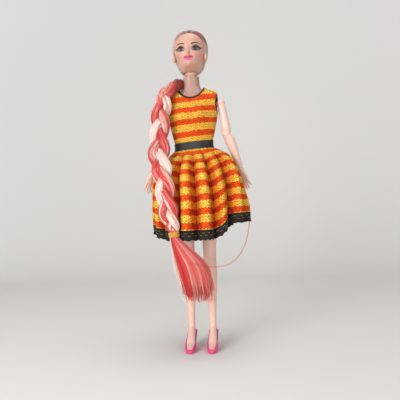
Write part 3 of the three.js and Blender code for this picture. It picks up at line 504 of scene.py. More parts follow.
def striped_knit():
    """Coarse acrylic knit: rows of V-shaped stitches, matt and a little fuzzy, with painted shade between the
    loops and deep in the folds.

    The stitches are drawn 2.7 mm wide, about twice the real gauge, so that they show."""
    material, tree = start_finish("coarse_striped_knit")
    flow = add(tree, "ShaderNodeUVMap", uv_map="flow")
    parts = add(tree, "ShaderNodeSeparateXYZ", (flow,))
    u, v = parts.outputs["X"], parts.outputs["Y"]
    stitch_wide, stitch_tall = 2.7, 2.2
    column = add(tree, "ShaderNodeMath", (u, stitch_wide), operation="DIVIDE")
    column = add(tree, "ShaderNodeMath", (column,), operation="FRACT")
    lean = add(tree, "ShaderNodeMath", (column, 0.5), operation="SUBTRACT")
    lean = add(tree, "ShaderNodeMath", (lean,), operation="ABSOLUTE")
    row = add(tree, "ShaderNodeMath", (v, stitch_tall), operation="DIVIDE")
    row = add(tree, "ShaderNodeMath", (lean, 1.2, row), operation="MULTIPLY_ADD")
    loop = add(tree, "ShaderNodeMath", (row, 2 * math.pi), operation="MULTIPLY")
    loop = add(tree, "ShaderNodeMath", (loop,), operation="SINE")
    valley = add(tree, "ShaderNodeMath", (lean, 4 * math.pi), operation="MULTIPLY")
    valley = add(tree, "ShaderNodeMath", (valley,), operation="COSINE")
    fuzz_at = add(tree, "ShaderNodeCombineXYZ", (u, v))
    fuzz = add(tree, "ShaderNodeTexNoise", {"Vector": fuzz_at, "Scale": 0.5, "Detail": 3, "Roughness": 0.8})
    fuzz = fuzz.outputs["Fac"]
    height = add(tree, "ShaderNodeMath", (loop, 0.3, 0.5), operation="MULTIPLY_ADD")
    height = add(tree, "ShaderNodeMath", (valley, -0.12, height), operation="MULTIPLY_ADD")
    tuft = add(tree, "ShaderNodeMath", (fuzz, 2.2, -1.1), operation="MULTIPLY_ADD")
    height = add(tree, "ShaderNodeMath", (height, tuft), operation="ADD")
    ragged = add(tree, "ShaderNodeMath", (fuzz, 3.4, -1.7), operation="MULTIPLY_ADD")
    ragged = add(tree, "ShaderNodeMath", (lean, 1.6, ragged), operation="MULTIPLY_ADD")
    stripe = add(tree, "ShaderNodeMath", (v, ragged), operation="ADD")
    stripe = add(tree, "ShaderNodeMath", (stripe, STRIPE_PITCH), operation="DIVIDE")
    stripe = add(tree, "ShaderNodeMath", (stripe,), operation="FRACT")
    stripe = add(tree, "ShaderNodeMath", (stripe, 0.5), operation="SUBTRACT")
    stripe = add(tree, "ShaderNodeMath", (stripe,), operation="ABSOLUTE")
    orange = add(tree, "ShaderNodeMath", (stripe, ORANGE_SHARE / 2), operation="LESS_THAN")
    # Painted shade between the loops: where the stitch height falls, the yarn is mixed towards a dark tone.
    loop_gap_shade = {"Value": height, "From Min": 0.2, "From Max": 0.5, "To Min": 1.0, "To Max": 0.0}
    loop_gap_shade = add(tree, "ShaderNodeMapRange", loop_gap_shade).outputs["Result"]
    # Painted shade: deep in a fold the colours are painted redder and fuller, as shade and the cloth's own
    # bounced light make them there.
    fold = add(tree, "ShaderNodeAttribute", attribute_name="tint").outputs["Fac"]
    stripes = []
    # Each yarn: its lit colour, its colour painted as shaded deep in a fold, its painted shade between loops,
    # and how much of that shade shows.
    yarns = (("#ffdb58", "#de760a", "#9c6410", 0.8), ("#fb5f16", "#b22306", "#9a2806", 0.7))
    for bright, folded, between, share in yarns:
        tones = {0: fold, 6: paint(bright), 7: paint(folded)}
        yarn = add(tree, "ShaderNodeMix", tones, data_type="RGBA").outputs[2]
        dark = add(tree, "ShaderNodeMath", (loop_gap_shade, share), operation="MULTIPLY")
        tones = {0: dark, 6: yarn, 7: paint(between)}
        stripes.append(add(tree, "ShaderNodeMix", tones, data_type="RGBA").outputs[2])
    tones = {0: orange, 6: stripes[0], 7: stripes[1]}
    colour = add(tree, "ShaderNodeMix", tones, data_type="RGBA").outputs[2]
    bump = add(tree, "ShaderNodeBump", {"Height": height, "Strength": 1.0, "Distance": 0.0008}).outputs[0]
    end_finish(tree, Base_Color=colour, Roughness=0.9, Normal=bump, Specular_IOR_Level=0.2)
    return material


def woven_ribbon(name, colour, pitch, roughness, ribs=0.5):
    """Polyester ribbon: close ribs across its length and a dull satin shine."""
    material, tree = start_finish(name)
    flow = add(tree, "ShaderNodeUVMap", uv_map="flow")
    parts = add(tree, "ShaderNodeSeparateXYZ", (flow,))
    waves = []
    for axis in "XY":
        wave = add(tree, "ShaderNodeMath", (parts.outputs[axis], 2 * math.pi / pitch), operation="MULTIPLY")
        waves.append(add(tree, "ShaderNodeMath", (wave,), operation="SINE"))
    height = add(tree, "ShaderNodeMath", (waves[1], ribs, waves[0]), operation="MULTIPLY_ADD")
    cloud = add(tree, "ShaderNodeTexNoise", {"Vector": flow, "Scale": 0.6, "Detail": 3}).outputs["Fac"]
    light = tuple(min(1, c * 2.2 + 0.004) for c in paint(colour)[:3]) + (1.0,)
    share = add(tree, "ShaderNodeMath", (cloud, 0.7), operation="MULTIPLY")
    tone = add(tree, "ShaderNodeMix", {0: share, 6: paint(colour), 7: light}, data_type="RGBA").outputs[2]
    bump = add(tree, "ShaderNodeBump", {"Height": height, "Strength": 0.3, "Distance": 0.0001}).outputs[0]
    end_finish(tree, Base_Color=tone, Roughness=roughness, Normal=bump, Specular_IOR_Level=0.3)
    return material


def glossy_shoe_plastic():
    """Soft glossy PVC: bright highlights and a barely uneven mould surface."""
    material, tree = start_finish("glossy_shoe_vinyl")
    place = add(tree, "ShaderNodeTexCoord").outputs["Object"]
    wave = add(tree, "ShaderNodeTexNoise", {"Vector": place, "Scale": 240, "Detail": 2}).outputs["Fac"]
    bump = add(tree, "ShaderNodeBump", {"Height": wave, "Strength": 0.1, "Distance": 0.0001}).outputs[0]
    tones = {0: wave, 6: paint("#e0457f"), 7: paint("#c92f6c")}
    tone = add(tree, "ShaderNodeMix", tones, data_type="RGBA").outputs[2]
    end_finish(tree, Base_Color=tone, Roughness=0.2, Normal=bump, IOR=1.53)
    return material


def gold_thread():
    """Metallic polyester thread: small bright gold glints."""
    material, tree = start_finish("gold_thread")
    place = add(tree, "ShaderNodeTexCoord").outputs["Object"]
    mottle = add(tree, "ShaderNodeTexNoise", {"Vector": place, "Scale": 1500, "Detail": 2}).outputs["Fac"]
    tones = {0: mottle, 6: paint("#8c6a2c"), 7: paint("#d8b458")}
    tone = add(tree, "ShaderNodeMix", tones, data_type="RGBA").outputs[2]
    end_finish(tree, Base_Color=tone, Roughness=0.35, Metallic=0.6)
    return material


def wound_elastic():
    """Covered elastic: thread wound close round a rubber core, ochre yellow and dull."""
    material, tree = start_finish("wound_elastic")
    flow = add(tree, "ShaderNodeUVMap", uv_map="flow")
    parts = add(tree, "ShaderNodeSeparateXYZ", (flow,))
    slant = (parts.outputs["Y"], 3.0, parts.outputs["X"])
    wave = add(tree, "ShaderNodeMath", slant, operation="MULTIPLY_ADD")
    wave = add(tree, "ShaderNodeMath", (wave, 9.0), operation="MULTIPLY")
    wave = add(tree, "ShaderNodeMath", (wave,), operation="SINE")
    share = add(tree, "ShaderNodeMath", (wave, 0.3, 0.4), operation="MULTIPLY_ADD")
    tones = {0: share, 6: paint("#e0a33c"), 7: paint("#a86a1c")}
    tone = add(tree, "ShaderNodeMix", tones, data_type="RGBA").outputs[2]
    bump = add(tree, "ShaderNodeBump", {"Height": wave, "Strength": 0.4, "Distance": 0.0001}).outputs[0]
    end_finish(tree, Base_Color=tone, Roughness=0.6, Normal=bump)
    return material


def hook_tape():
    """Woven nylon hook tape: off-white, matt and prickly."""
    material, tree = start_finish("hook_and_loop_tape")
    place = add(tree, "ShaderNodeTexCoord").outputs["Object"]
    cells = add(tree, "ShaderNodeTexVoronoi", {"Vector": place, "Scale": 1300}).outputs["Distance"]
    tones = {0: cells, 6: paint("#d9d3c8"), 7: paint("#f4f1ea")}
    tone = add(tree, "ShaderNodeMix", tones, data_type="RGBA").outputs[2]
    bump = add(tree, "ShaderNodeBump", {"Height": cells, "Strength": 0.7, "Distance": 0.0003}).outputs[0]
    end_finish(tree, Base_Color=tone, Roughness=0.9, Normal=bump)
    return material


# The stripes repeat every 11.4 mm; a little under half of that is orange.
STRIPE_PITCH = 11.4
ORANGE_SHARE = 0.47

SKIN = hard_skin_plastic()
PIN_SKIN = hard_skin_plastic("moulded_pin_plastic", "#e7bca7", "#dba58f", 0.3)
VINYL = painted_vinyl()
KNIT = striped_knit()
BINDING = woven_ribbon("black_bias_binding", "#120d0d", 0.5, 0.75)
SATIN = woven_ribbon("black_satin_ribbon", "#131013", 0.35, 0.42, 0.2)
LACE = woven_ribbon("black_lace_edge", "#150e0c", 0.6, 0.8, 1.0)
GOLD = gold_thread()
SHOE = glossy_shoe_plastic()
ELASTIC = wound_elastic()
TAPE = hook_tape()
HAIR_TONES = [
    (0.0, "#f0d9cf"), (0.25, "#e2c0b2"), (0.42, "#c98478"),
    (0.58, "#d2463f"), (0.74, "#c92b2c"), (1.0, "#85291f"),
]
HAIR = doll_hair("two_tone_nylon_hair", HAIR_TONES)
# The greyish browns in the middle of these tones are the scalp's painted shade; the reds are its dyed streak.
SCALP_TONES = [
    (0.0, "#dcc6bc"), (0.2, "#c6a69b"), (0.34, "#92736a"),
    (0.46, "#74554d"), (0.6, "#a3403c"), (1.0, "#7c2c2a"),
]
SCALP = doll_hair("rooted_nylon_hair", SCALP_TONES, 2.2, 0.4)


# Trunk and dress sizes, as in the solid model.

CUP_DROP = 3.9
trunk_size = profile([
    [HIP_Z + 0.17 * TRUNK, 20.6, 10.4, 12.6, 0, 0, 2.15],
    [HIP_Z + 0.28 * TRUNK, 18.2, 10.0, 11.2, 0, 0, 2.15],
    [HIP_Z + 0.42 * TRUNK, 15.6, 8.8, 8.4, 0, 0, 2.15],
    [HIP_Z + 0.6 * TRUNK, 17.8, 9.4, 8.0, 0.2, 0, 2.15],
    [HIP_Z + 0.72 * TRUNK, 19.6, 10.3, 8.4, 1.4, 0, 2.2],
    [HIP_Z + 0.82 * TRUNK, 20.8, 11.2, 8.8, 4.2, 0, 2.4],
    [HIP_Z + 0.91 * TRUNK, 21.6, 10.6, 8.9, 2.6, 0, 2.7],
    [HIP_Z + 1.0 * TRUNK, 21.9, 9.4, 8.6, 0.5, 0, 3],
    [HIP_Z + 1.09 * TRUNK, 21.8, 8.0, 7.8, 0, 0.3, 3.1],
    [HIP_Z + 1.125 * TRUNK, 21.2, 7.2, 7.2, 0, 0.5, 2.9],
    [HIP_Z + 1.16 * TRUNK, 17.4, 6.6, 6.8, 0, 0.8, 2.5],
    [HIP_Z + 1.19 * TRUNK, 12.2, 6.5, 6.7, 0, 1.0, 2.3],
    [HIP_Z + 1.23 * TRUNK, 8.8, 6.7, 6.8, 0, 1.3, 2.15],
    [HIP_Z + 1.28 * TRUNK, 7.5, 7.0, 7.0, 0, 1.5, 2.1],
    [NOD_Z - CUP_DROP, 7.3, 7.1, 7.1, 0, 1.5, 2.1],
])
SLOPE_Z = HIP_Z + 1.08 * TRUNK
HIP_BALL, HIP_SHAFT, CROTCH_HALF, HIP_X = 10.6, 3.0, 2.3, 13.1
GAP, RUNNING, PIN_FIT = 0.3, 0.18, 0.06
SKIN_GAP, CLOTH = 0.35, 1.35
SHELL_LOW = HIP_Z + HIP_BALL + 2 * GAP
SHOULDER_X, ARM_BALL, ARM_SHAFT, DISC_RADIUS, DISC_THICK = 26.0, 4.0, 3.4, 4.6, 0.9
DISC_X = SHOULDER_X - ARM_BALL - GAP
NECK_Y, KNOB = 1.5, 6.2


def trunk_ring(z, grow, n):
    half, front, back, bust, shift, square = trunk_size(z)
    lift = grow * float(smooth(SLOPE_Z - 3, SLOPE_Z + 3, z))
    p = ring(0, shift, z + lift, half + grow, front + grow, back + grow, n, square)
    face_on = np.maximum(0, (shift - p[:, 1]) / (front + grow))
    p[:, 1] -= bust * np.exp(-(((np.abs(p[:, 0]) - 8.4) / 5.6) ** 2)) * face_on
    return p


def trunk_form(low, high, grow, n=72, step=1.0):
    rows = np.linspace(low, high, int((high - low) / step) + 2)
    return loft([trunk_ring(z, grow, n) for z in rows])


def make_trunk():
    crotch = loft([
        ring(0, 1, HIP_Z - 9.6, CROTCH_HALF * 0.7, 3.5, 4, 32),
        ring(0, 1, HIP_Z - 7, CROTCH_HALF, 6.5, 7.5, 32),
        ring(0, 1, HIP_Z, CROTCH_HALF, 8.6, 9.6, 32),
        ring(0, 1, SHELL_LOW + 1, CROTCH_HALF, 9.6, 10.6, 32),
    ])
    seat = rod("x", 20, DISC_RADIUS + GAP).moved(DISC_X - DISC_THICK - GAP + 10, 0, SHOULDER_Z)
    hip_seat = ball(HIP_BALL + 2 * GAP, 48).moved(HIP_X, 0, HIP_Z)
    shell = worked(
        trunk_form(SHELL_LOW, NOD_Z - CUP_DROP, 0),
        ("join", crotch),
        ("cut", rod("x", 70, ARM_SHAFT + RUNNING).moved(0, 0, SHOULDER_Z)),
        ("cut", seat),
        ("cut", seat.mirrored()),
        ("cut", rod("x", 3 * CROTCH_HALF, HIP_SHAFT + RUNNING).moved(0, 0, HIP_Z)),
        ("cut", hip_seat),
        ("cut", hip_seat.mirrored()),
        ("cut", ball(KNOB + SKIN_GAP, 48).moved(0, NECK_Y, NOD_Z)),
    )
    for name, side in (("trunk_front_shell", 1), ("trunk_back_shell", -1)):
        half = worked(shell, ("cut", under((0, -side, 0), 0.04)))
        piece("skin_" + name, half, SKIN, "trunk", [name], "hard_skin")


# Head, make-up and hair roots.

head_size = profile([
    [0, -5.4, 0.2, 8.8, 1.2, 7.6, 0.0],
    [1, -10.4, 1.4, 12.4, 3.8, 10.0, 0.08],
    [2, -13.3, 3.8, 14.8, 7.4, 11.6, 0.3],
    [3, -14.7, 7.6, 16.8, 11.0, 13.0, 0.32],
    [4, -15.3, 11.6, 18.4, 15, 14.1, 0.24],
    [5, -15.4, 15, 19.6, 18.6, 15.0, 0.16],
    [6, -15.0, 19.6, 20.2, 22, 15.5, 0.1],
    [7, -14.7, 24.6, 19.8, 26, 15.4, 0.06],
    [8, -12.8, 30.6, 17.6, 31, 13.9, 0.0],
    [9, -8.9, 35.7, 13.3, 35.7, 10.6, 0.0],
    [10, -4.4, 38.2, 8, 38.2, 6.1, 0.0],
    [10.6, -0.6, 39.1, 4.2, 39.1, 2.3, 0.0],
])

# How the face stands out: sideways place, height, spread sideways and upwards, depth.
FACE = [
    (0, 265.3, 1.2, 1.4, 2.0),
    (0, 269.3, 1.0, 3.4, 1.2),
    (0, 262.3, 2.1, 0.75, 0.75),
    (0, 260.1, 2.0, 0.85, 1.05),
    (0, 261.2, 3.0, 0.26, -0.45),
    (0, 258.4, 2.4, 0.8, -0.45),
    (0, 256.4, 3.2, 1.8, 1.5),
    (0, 263.7, 0.45, 0.6, -0.25),
]
FACE_PAIRS = [
    (1.35, 264.5, 0.7, 0.7, 0.8),
    (6.9, 270.2, 3.3, 2.5, -1.3),
    (6.9, 269.5, 2.7, 1.7, 0.8),
    (2.7, 269.7, 1.2, 1.7, -0.6),
    (6.6, 274.7, 4.0, 1.3, 0.5),
    (8.8, 263.6, 3.6, 3.4, 0.6),
    (4.6, 260.9, 0.7, 0.8, -0.3),
]
RELIEF = FACE + FACE_PAIRS + [(-x, z, sx, sz, out) for x, z, sx, sz, out in FACE_PAIRS]


def head_ring(level, grow, angles, face):
    front_y, front_z, back_y, back_z, wide, taper = head_size(level)
    back = (1 - np.cos(angles)) / 2
    slim = 1 - taper * ((1 + np.cos(angles)) / 2) ** 1.5
    reach = math.hypot(back_y - front_y, back_z - front_z) / 2
    ease = (reach + grow) / reach
    middle = (front_y + back_y) / 2
    y = middle + (front_y + (back_y - front_y) * back - middle) * ease
    x = (wide + grow) * np.sin(angles) * slim
    rise = grow * (level - 9) / 1.6 if level > 9 else 0 * level
    z = CHIN_Z + front_z + (back_z - front_z) * back + rise
    if face:
        forward = np.minimum(1, 2 * np.maximum(0, np.cos(angles)))
        for px, pz, sx, sz, out in RELIEF:
            y = y - out * forward * np.exp(-(((x - px) / sx) ** 2) - ((z - pz) / sz) ** 2)
        # Under the chin the surface turns back towards the neck.
        y = y + 4 * forward * (1 - smooth(250.2, 255.2, z))
    return np.column_stack([x, y, z])


def head_form(grow, around=180, rows=170, face=False):
    t = np.linspace(0, 2 * np.pi, around, endpoint=False)
    angles = t - 0.5 * np.sin(t)
    return loft([head_ring(level, grow, angles, face) for level in np.linspace(0, 10.6, rows)])


def ear(grow=0.0):
    return ball(1, 32).scaled(1.7 + grow, 2.1 + grow, 3.5 + grow).moved(14.6, -2.2, CHIN_Z + 15)


def make_head():
    hollow_ear = ball(1, 24).scaled(1.0, 1.2, 2.2).moved(16.0, -2.5, CHIN_Z + 15.2)
    one_ear = worked(ear(), ("cut", hollow_ear))
    skin = worked(
        head_form(0, face=True),
        ("join", one_ear),
        ("join", one_ear.mirrored()),
        ("cut", ball(KNOB + SKIN_GAP, 48).moved(0, NECK_Y, NOD_Z)),
        ("cut", rod("z", 12, KNOB * 0.9).moved(0, NECK_Y, NOD_Z - 6)),
        ("cut", box(40, 60, 20).moved(0, 0, NOD_Z - 11.2)),
    )
    piece("vinyl_head", skin, VINYL, "head", ["head"], "vinyl_skin", sharp=60)
    return BVHTree.FromPolygons([tuple(p) for p in skin.points], skin.faces)


def laid_on(tree, xs, lows, highs, rows, lift):
    """A thin closed patch between two curves, laid on the face."""
    grid = []
    for x, low, high in zip(xs, lows, highs):
        grid.append([(x, low + (high - low) * r / (rows - 1)) for r in range(rows)])
    grid = np.array(grid)
    outer, inner = np.zeros(grid.shape[:2] + (3,)), np.zeros(grid.shape[:2] + (3,))
    for i in range(grid.shape[0]):
        for k in range(rows):
            x, z = grid[i, k]
            hit, normal, _, _ = tree.ray_cast(Vector((x, -60, z)), Vector((0, 1, 0)))
            normal = normal if normal.y < 0 else -normal
            outer[i, k] = hit + normal * lift
            inner[i, k] = hit - normal * 0.15
    n, m = grid.shape[0], rows
    points = np.vstack([outer.reshape(-1, 3), inner.reshape(-1, 3)])
    faces, flow = [], []
    mid = grid.reshape(-1, 2).mean(0)
    size = max(1e-6, float(np.abs(grid.reshape(-1, 2) - mid).max()))
    share = (grid.reshape(-1, 2) - mid) / size
    at = lambda i, k: i * m + k
    for i in range(n - 1):
        for k in range(m - 1):
            quad = [at(i, k), at(i + 1, k), at(i + 1, k + 1), at(i, k + 1)]
            faces += [quad, [q + n * m for q in quad[::-1]]]
            flow += [[tuple(share[q]) for q in quad], [tuple(share[q]) for q in quad[::-1]]]
    edge = [at(i, 0) for i in range(n)] + [at(n - 1, k) for k in range(1, m)]
    edge += [at(i, m - 1) for i in range(n - 2, -1, -1)] + [at(0, k) for k in range(m - 2, 0, -1)]
    for a, b in zip(edge, edge[1:] + edge[:1]):
        faces.append([b, a, a + n * m, b + n * m])
        flow.append([tuple(share[q]) for q in (b, a, a, b)])
    return outward(Shape(points, faces, flow))


def mirrored_curves(xs, lows, highs):
    return -xs[::-1], lows[::-1], highs[::-1]


def make_face(tree):
    """Printed eyes, brows and lips, laid on the face less than a fifth of a millimetre high."""
    white = face_paint("printed_eye_white", "#857877", 0.3, 0.4)
    black = face_paint("printed_lash_black", "#17130f", 0.35)
    brow = face_paint("printed_brow_brown", "#5f332b", 0.5)
    crease = face_paint("printed_lid_shadow", "#6f4a4c", 0.45)
    upper = face_paint("printed_upper_lip", "#ab2f54", 0.28, 0.5)
    lower = face_paint("printed_lower_lip", "#e0609a", 0.16, 0.9)
    iris = iris_paint()
    eye_x, eye_z, eye_half = 6.4, 269.7, 3.6
    t = np.linspace(-1, 1, 33)
    lean = 0.28 * t
    bow = np.sqrt(np.maximum(0, 1 - t * t))
    lid_top = eye_z + lean + 1.75 * bow**1.2
    lid_low = eye_z + lean - 1.1 * bow**1.3
    eye_xs = eye_x + eye_half * t

    def round_spot(cx, cz, radius):
        xs = cx + radius * t
        high = np.minimum(cz + radius * bow, np.interp(xs, eye_xs, lid_top))
        low = np.maximum(cz - radius * bow, np.interp(xs, eye_xs, lid_low))
        return xs, np.minimum(low, high), high

    s = np.linspace(0, 1, 33)
    liner_x = eye_x + eye_half * (-1 + 2.5 * s)
    wing = 0.75 * np.maximum(0, liner_x - eye_x - eye_half)
    liner_base = np.interp(liner_x, eye_xs, lid_top) + wing
    liner_thick = 0.5 + 1.35 * np.sin(np.pi * np.minimum(1, s / 1.25)) ** 1.2 * (1 - 0.75 * smooth(0.8, 1, s))
    lower_x = eye_x + eye_half * np.linspace(-0.7, 1.02, 33)
    lower_base = np.interp(lower_x, eye_xs, lid_low)
    crease_x = eye_x + 3.8 * t
    crease_z = eye_z + 0.3 * t + 3.0 * bow**0.9 + 0.35
    brow_x = 2.7 + 7.6 * s
    brow_z = 273.1 + 2.2 * np.sin(np.pi * (0.12 + 0.62 * s))
    brow_half = 0.24 + 0.5 * np.sin(np.pi * np.minimum(1, 0.18 + 0.75 * s)) * (1 - 0.5 * s)
    shapes = [
        ("eye_white", white, (eye_xs, lid_low, lid_top), 0.05),
        ("iris", iris, round_spot(eye_x - 0.1, eye_z + 0.35, 1.85), 0.09),
        ("pupil", black, round_spot(eye_x - 0.1, eye_z + 0.4, 1.0), 0.12),
        # A painted highlight: a white dot printed on the iris, as on many doll faces.
        ("eye_highlight_dot", white, round_spot(eye_x + 0.45, eye_z + 1.0, 0.34), 0.15),
        ("upper_lash_line", black, (liner_x, liner_base - 0.15, liner_base - 0.15 + liner_thick), 0.16),
        ("lower_lash_line", black, (lower_x, lower_base - 0.34, lower_base + 0.12), 0.13),
        ("lid_crease", crease, (crease_x, crease_z - 0.12, crease_z + 0.12), 0.05),
        ("brow", brow, (brow_x, brow_z - brow_half, brow_z + brow_half), 0.06),
    ]
    lashes = [(0.32, 1.1), (0.46, 1.3), (0.6, 1.5), (0.74, 1.7), (0.86, 1.9), (0.96, 1.9)]
    for i, (where, length) in enumerate(lashes):
        foot_x = float(np.interp(where, s, liner_x))
        foot_z = float(np.interp(where, s, liner_base)) + 0.3
        k = np.linspace(0, 1, 7)
        lash_x = foot_x + length * (0.25 + 0.6 * where) * k
        lash_z = foot_z + length * (0.9 * k - 0.3 * k * k) * (1.1 - 0.4 * where)
        half = 0.16 * (1 - 0.85 * k)
        shapes.append((f"lash_{i}", black, (lash_x, lash_z - half, lash_z + half), 0.14))
    for name, finish, curves, lift in shapes:
        rows = 9 if name in ("eye_white", "iris", "pupil") else 4
        for side, bent in (("left", curves), ("right", mirrored_curves(*curves))):
            film = laid_on(tree, *bent, rows, lift)
            piece(f"{side}_{name}", film, finish, "head", slot="vinyl_skin", sharp=70)
    mouth_x = 4.4 * t
    smile = 0.45 * t * t
    parting = 261.6 + smile
    lip_top = parting + 2.1 * bow**0.8 * (1 - 0.22 * np.exp(-((mouth_x / 0.75) ** 2)))
    lip_low = parting - 2.3 * bow**0.9
    film = laid_on(tree, mouth_x, parting - 0.02, lip_top, 7, 0.06)
    piece("upper_lip", film, upper, "head", slot="vinyl_skin")
    film = laid_on(tree, mouth_x * 0.95, lip_low, parting - 0.1, 8, 0.06)
    piece("lower_lip", film, lower, "head", slot="vinyl_skin")


ROOT = np.array([0.5, 17.2, CHIN_Z + 8.6])
COMB_MIDDLE = np.array([0, 2.5, CHIN_Z + 20.0])
COMB_AXIS = unit(ROOT - COMB_MIDDLE)
COMB_SIDE = unit(np.cross(COMB_AXIS, [0, 0, 1.0]))
COMB_UP = np.cross(COMB_SIDE, COMB_AXIS)


def comb(points):
    """The angle of the combing round the ponytail's root, and how far from it along the scalp."""
    away = points - COMB_MIDDLE
    turn = np.arctan2(away @ COMB_SIDE, away @ COMB_UP)
    reach = np.arccos(np.clip(away @ COMB_AXIS / np.linalg.norm(away, axis=1), -1, 1))
    return turn, reach


def make_scalp_hair():
    temple = unit(np.array([0, 1, 0.374]))
    nape = unit(np.array([0, 1, 1]))
    hairline = temple @ np.array([0, -9.6, CHIN_Z + 34.6])
    behind_ear = nape @ np.array([0, -0.4, CHIN_Z + 10.4])
    outer = head_form(0.0, 240, 200)
    middle = np.array([0, 2.5, CHIN_Z + 19.0])
    turn, reach = comb(outer.points)
    inside = np.minimum(outer.points @ temple - hairline, outer.points @ nape - behind_ear)
    waver = 0.35 * np.sin(37 * turn) + 0.25 * np.sin(71 * turn + 1)
    ridge = 0.13 * np.sin(46 * turn + 2 * np.sin(5 * turn)) + 0.07 * np.sin(97 * turn + 1)
    thick = -0.5 + 1.75 * smooth(-0.6, 2.6, inside + waver) + ridge * smooth(0.2, 3, inside)
    outer.points = outer.points + unit(outer.points - middle) * thick[:, None]
    cap = worked(outer, ("cut", head_form(0.05, 180, 150)), ("cut", ear(0.25)), ("cut", ear(0.25).mirrored()))
    flow = []
    for face in cap.faces:
        turn, reach = comb(cap.points[face])
        centre = turn[0]
        turn = centre + half_turn(turn - centre)
        flow.append([(16 * float(a), 18 * float(b)) for a, b in zip(turn, reach)])
    cap.flow = flow
    turn, _ = comb(cap.points)
    # Painted shade: the hair is darker along the forehead's hairline and over the crown, where the head's top
    # edge lies in shadow.
    root = 1 - smooth(0.2, 3.2, cap.points @ temple - hairline)
    crown = smooth(CHIN_Z + 29, CHIN_Z + 38, cap.points[:, 2])
    tint = 0.13 + 0.04 * np.sin(9 * turn) + 0.14 * root + 0.16 * crown
    # A streak of red roots over the left temple thins out towards the back.
    back = smooth(-4, 14, cap.points[:, 1])
    streak = np.exp(-(((turn - 1.12) / (0.3 - 0.12 * back)) ** 4))
    tint = tint + (0.62 - tint) * streak * (1 - 0.4 * back) * (0.84 + 0.16 * np.sin(70 * turn))
    piece("rooted_scalp_hair", cap, SCALP, "head", ["scalp_hair"], "blonde_hair", sharp=60, tint=tint)


# Braid.

BRAID = np.array([
    [-23.2, -13.2, SHOULDER_Z + 8.5, 0, 0.72],
    [-25.4, -16.0, SHOULDER_Z - 3, 0, 0.86],
    [-27.6, -17.0, SHOULDER_Z - 17, 0, 0.94],
    [-28.8, -18.6, SHOULDER_Z - 32, 6, 0.98],
    [-28.4, -23.6, SHOULDER_Z - 47, 14, 1.03],
    [-25.2, -32.0, SHOULDER_Z - 60, 24, 1.0],
    [-22.2, -38.8, SHOULDER_Z - 74, 22, 0.95],
    [-20.2, -42.3, SHOULDER_Z - 90, 16, 0.94],
    [-17.6, -43.4, SHOULDER_Z - 103, 10, 0.78],
    [-15.0, -43.8, SHOULDER_Z - 112.3, 6, 0.5],
])
BRAID_TURNS, STRAND, SWAY, CROSS = 2.4, 4.5, 5.1, 2.3
braid_middle = profile(np.column_stack([np.linspace(0, 1, len(BRAID)), BRAID[:, :3]]))
braid_size = profile(np.column_stack([np.linspace(0, 1, len(BRAID)), BRAID[:, 3:]]))


def braid_frame(s):
    turn, size = braid_size(s)
    turn = math.radians(turn)
    side = np.array([math.cos(turn), -math.sin(turn), 0])
    out = np.array([-math.sin(turn), -math.cos(turn), 0])
    return side, out, size


def strand_middle(s, phase):
    side, out, size = braid_frame(s)
    a = 2 * math.pi * (s * BRAID_TURNS + phase / 3)
    return braid_middle(s) + side * SWAY * size * math.sin(a) + out * CROSS * size * math.sin(2 * a)


def lock(path, sizes, n, ridges, depth, out_dirs, twist=0.0):
    """A ridged lock of hair along a path, with its place round and along in millimetres."""
    length = float(np.linalg.norm(np.diff(path, axis=0), axis=1).sum())
    girth = 2 * math.pi * float(np.mean(sizes))
    return loft(along_path(path, sizes, n, twist, out_dirs, ridges, depth), girth, length)


def taper(count, low=0.25, share=0.06):
    k = np.linspace(0, 1, count)
    return low + (1 - low) * smooth(0, share, k) * (1 - smooth(1 - share, 1, k))


def bundle(path, sizes, ups, tints, seed, turns=0.8, sides=12):
    """A strand of thin locks side by side round a core; each wanders a little and has its own tone."""
    rng = np.random.default_rng(seed)
    count = len(path)
    s = np.linspace(0, 1, count)
    ahead = unit(np.gradient(path, axis=0))
    wide = unit(np.cross(ahead, ups))
    tall = np.cross(wide, ahead)
    shapes, tones = [lock(path, sizes * 0.66, 2 * sides, 7, 0.05, ups)], [float(np.median(tints))]
    for k, tint in enumerate(tints):
        phase = rng.uniform(0, 1, 3)
        a = 2 * np.pi * (k / len(tints) + turns * s + 0.025 * np.sin(2 * np.pi * (5 * s + phase[0])))
        reach = 0.62 + 0.05 * np.sin(2 * np.pi * (7 * s + phase[1]))
        off = sizes * np.column_stack([reach * np.cos(a), reach * np.sin(a)])
        middle = path + wide * off[:, :1] + tall * off[:, 1:]
        thick = sizes * 2.9 / len(tints) * (1 + 0.12 * np.sin(2 * np.pi * (6 * s + phase[2])))[:, None]
        shapes.append(lock(middle, thick, sides, 4, 0.07, ups, 0.1))
        tones.append(tint + rng.normal(0, 0.02))
    tint = np.concatenate([np.full(len(shape.points), tone) for shape, tone in zip(shapes, tones)])
    return joined(*shapes), tint


CREAM, PINK, RED, DEEP = 0.1, 0.42, 0.64, 0.84
STRANDS = [
    [CREAM, CREAM, PINK, CREAM, CREAM, CREAM, 0.3, CREAM, CREAM],
    [RED, 0.5, RED, DEEP, RED, CREAM, RED, 0.55, DEEP],
    [0.3, PINK, RED, PINK, CREAM, RED, 0.5, RED, PINK],
]


def drape(thing):
    """The braid hangs from the shoulder and below the chest lies on the skirt; this bakes a hanging piece's
    place into its mesh and attaches it to no body.
    """
    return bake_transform(thing)


def make_braid():
    count = 240
    s = np.linspace(0, 1, count)
    ups = np.array([braid_frame(k)[1] for k in s])
    size = np.array([braid_frame(k)[2] for k in s])
    for phase, tints in enumerate(STRANDS):
        path = np.array([strand_middle(k, phase) for k in s])
        swell = 1 + 0.1 * np.cos(2 * (2 * np.pi * (s * BRAID_TURNS + phase / 3)) + np.pi)
        sizes = STRAND * size[:, None] * np.column_stack([swell, np.full(count, 0.8)])
        sizes = sizes * taper(count, 0.5, 0.02)[:, None]
        shape, tint = bundle(path, sizes, ups, tints, 3 + phase)
        stands = ["braid"] if phase == 0 else ()
        drape(piece(f"braid_strand_{phase}", shape, HAIR, None, stands, "red_hair", sharp=60, tint=tint))


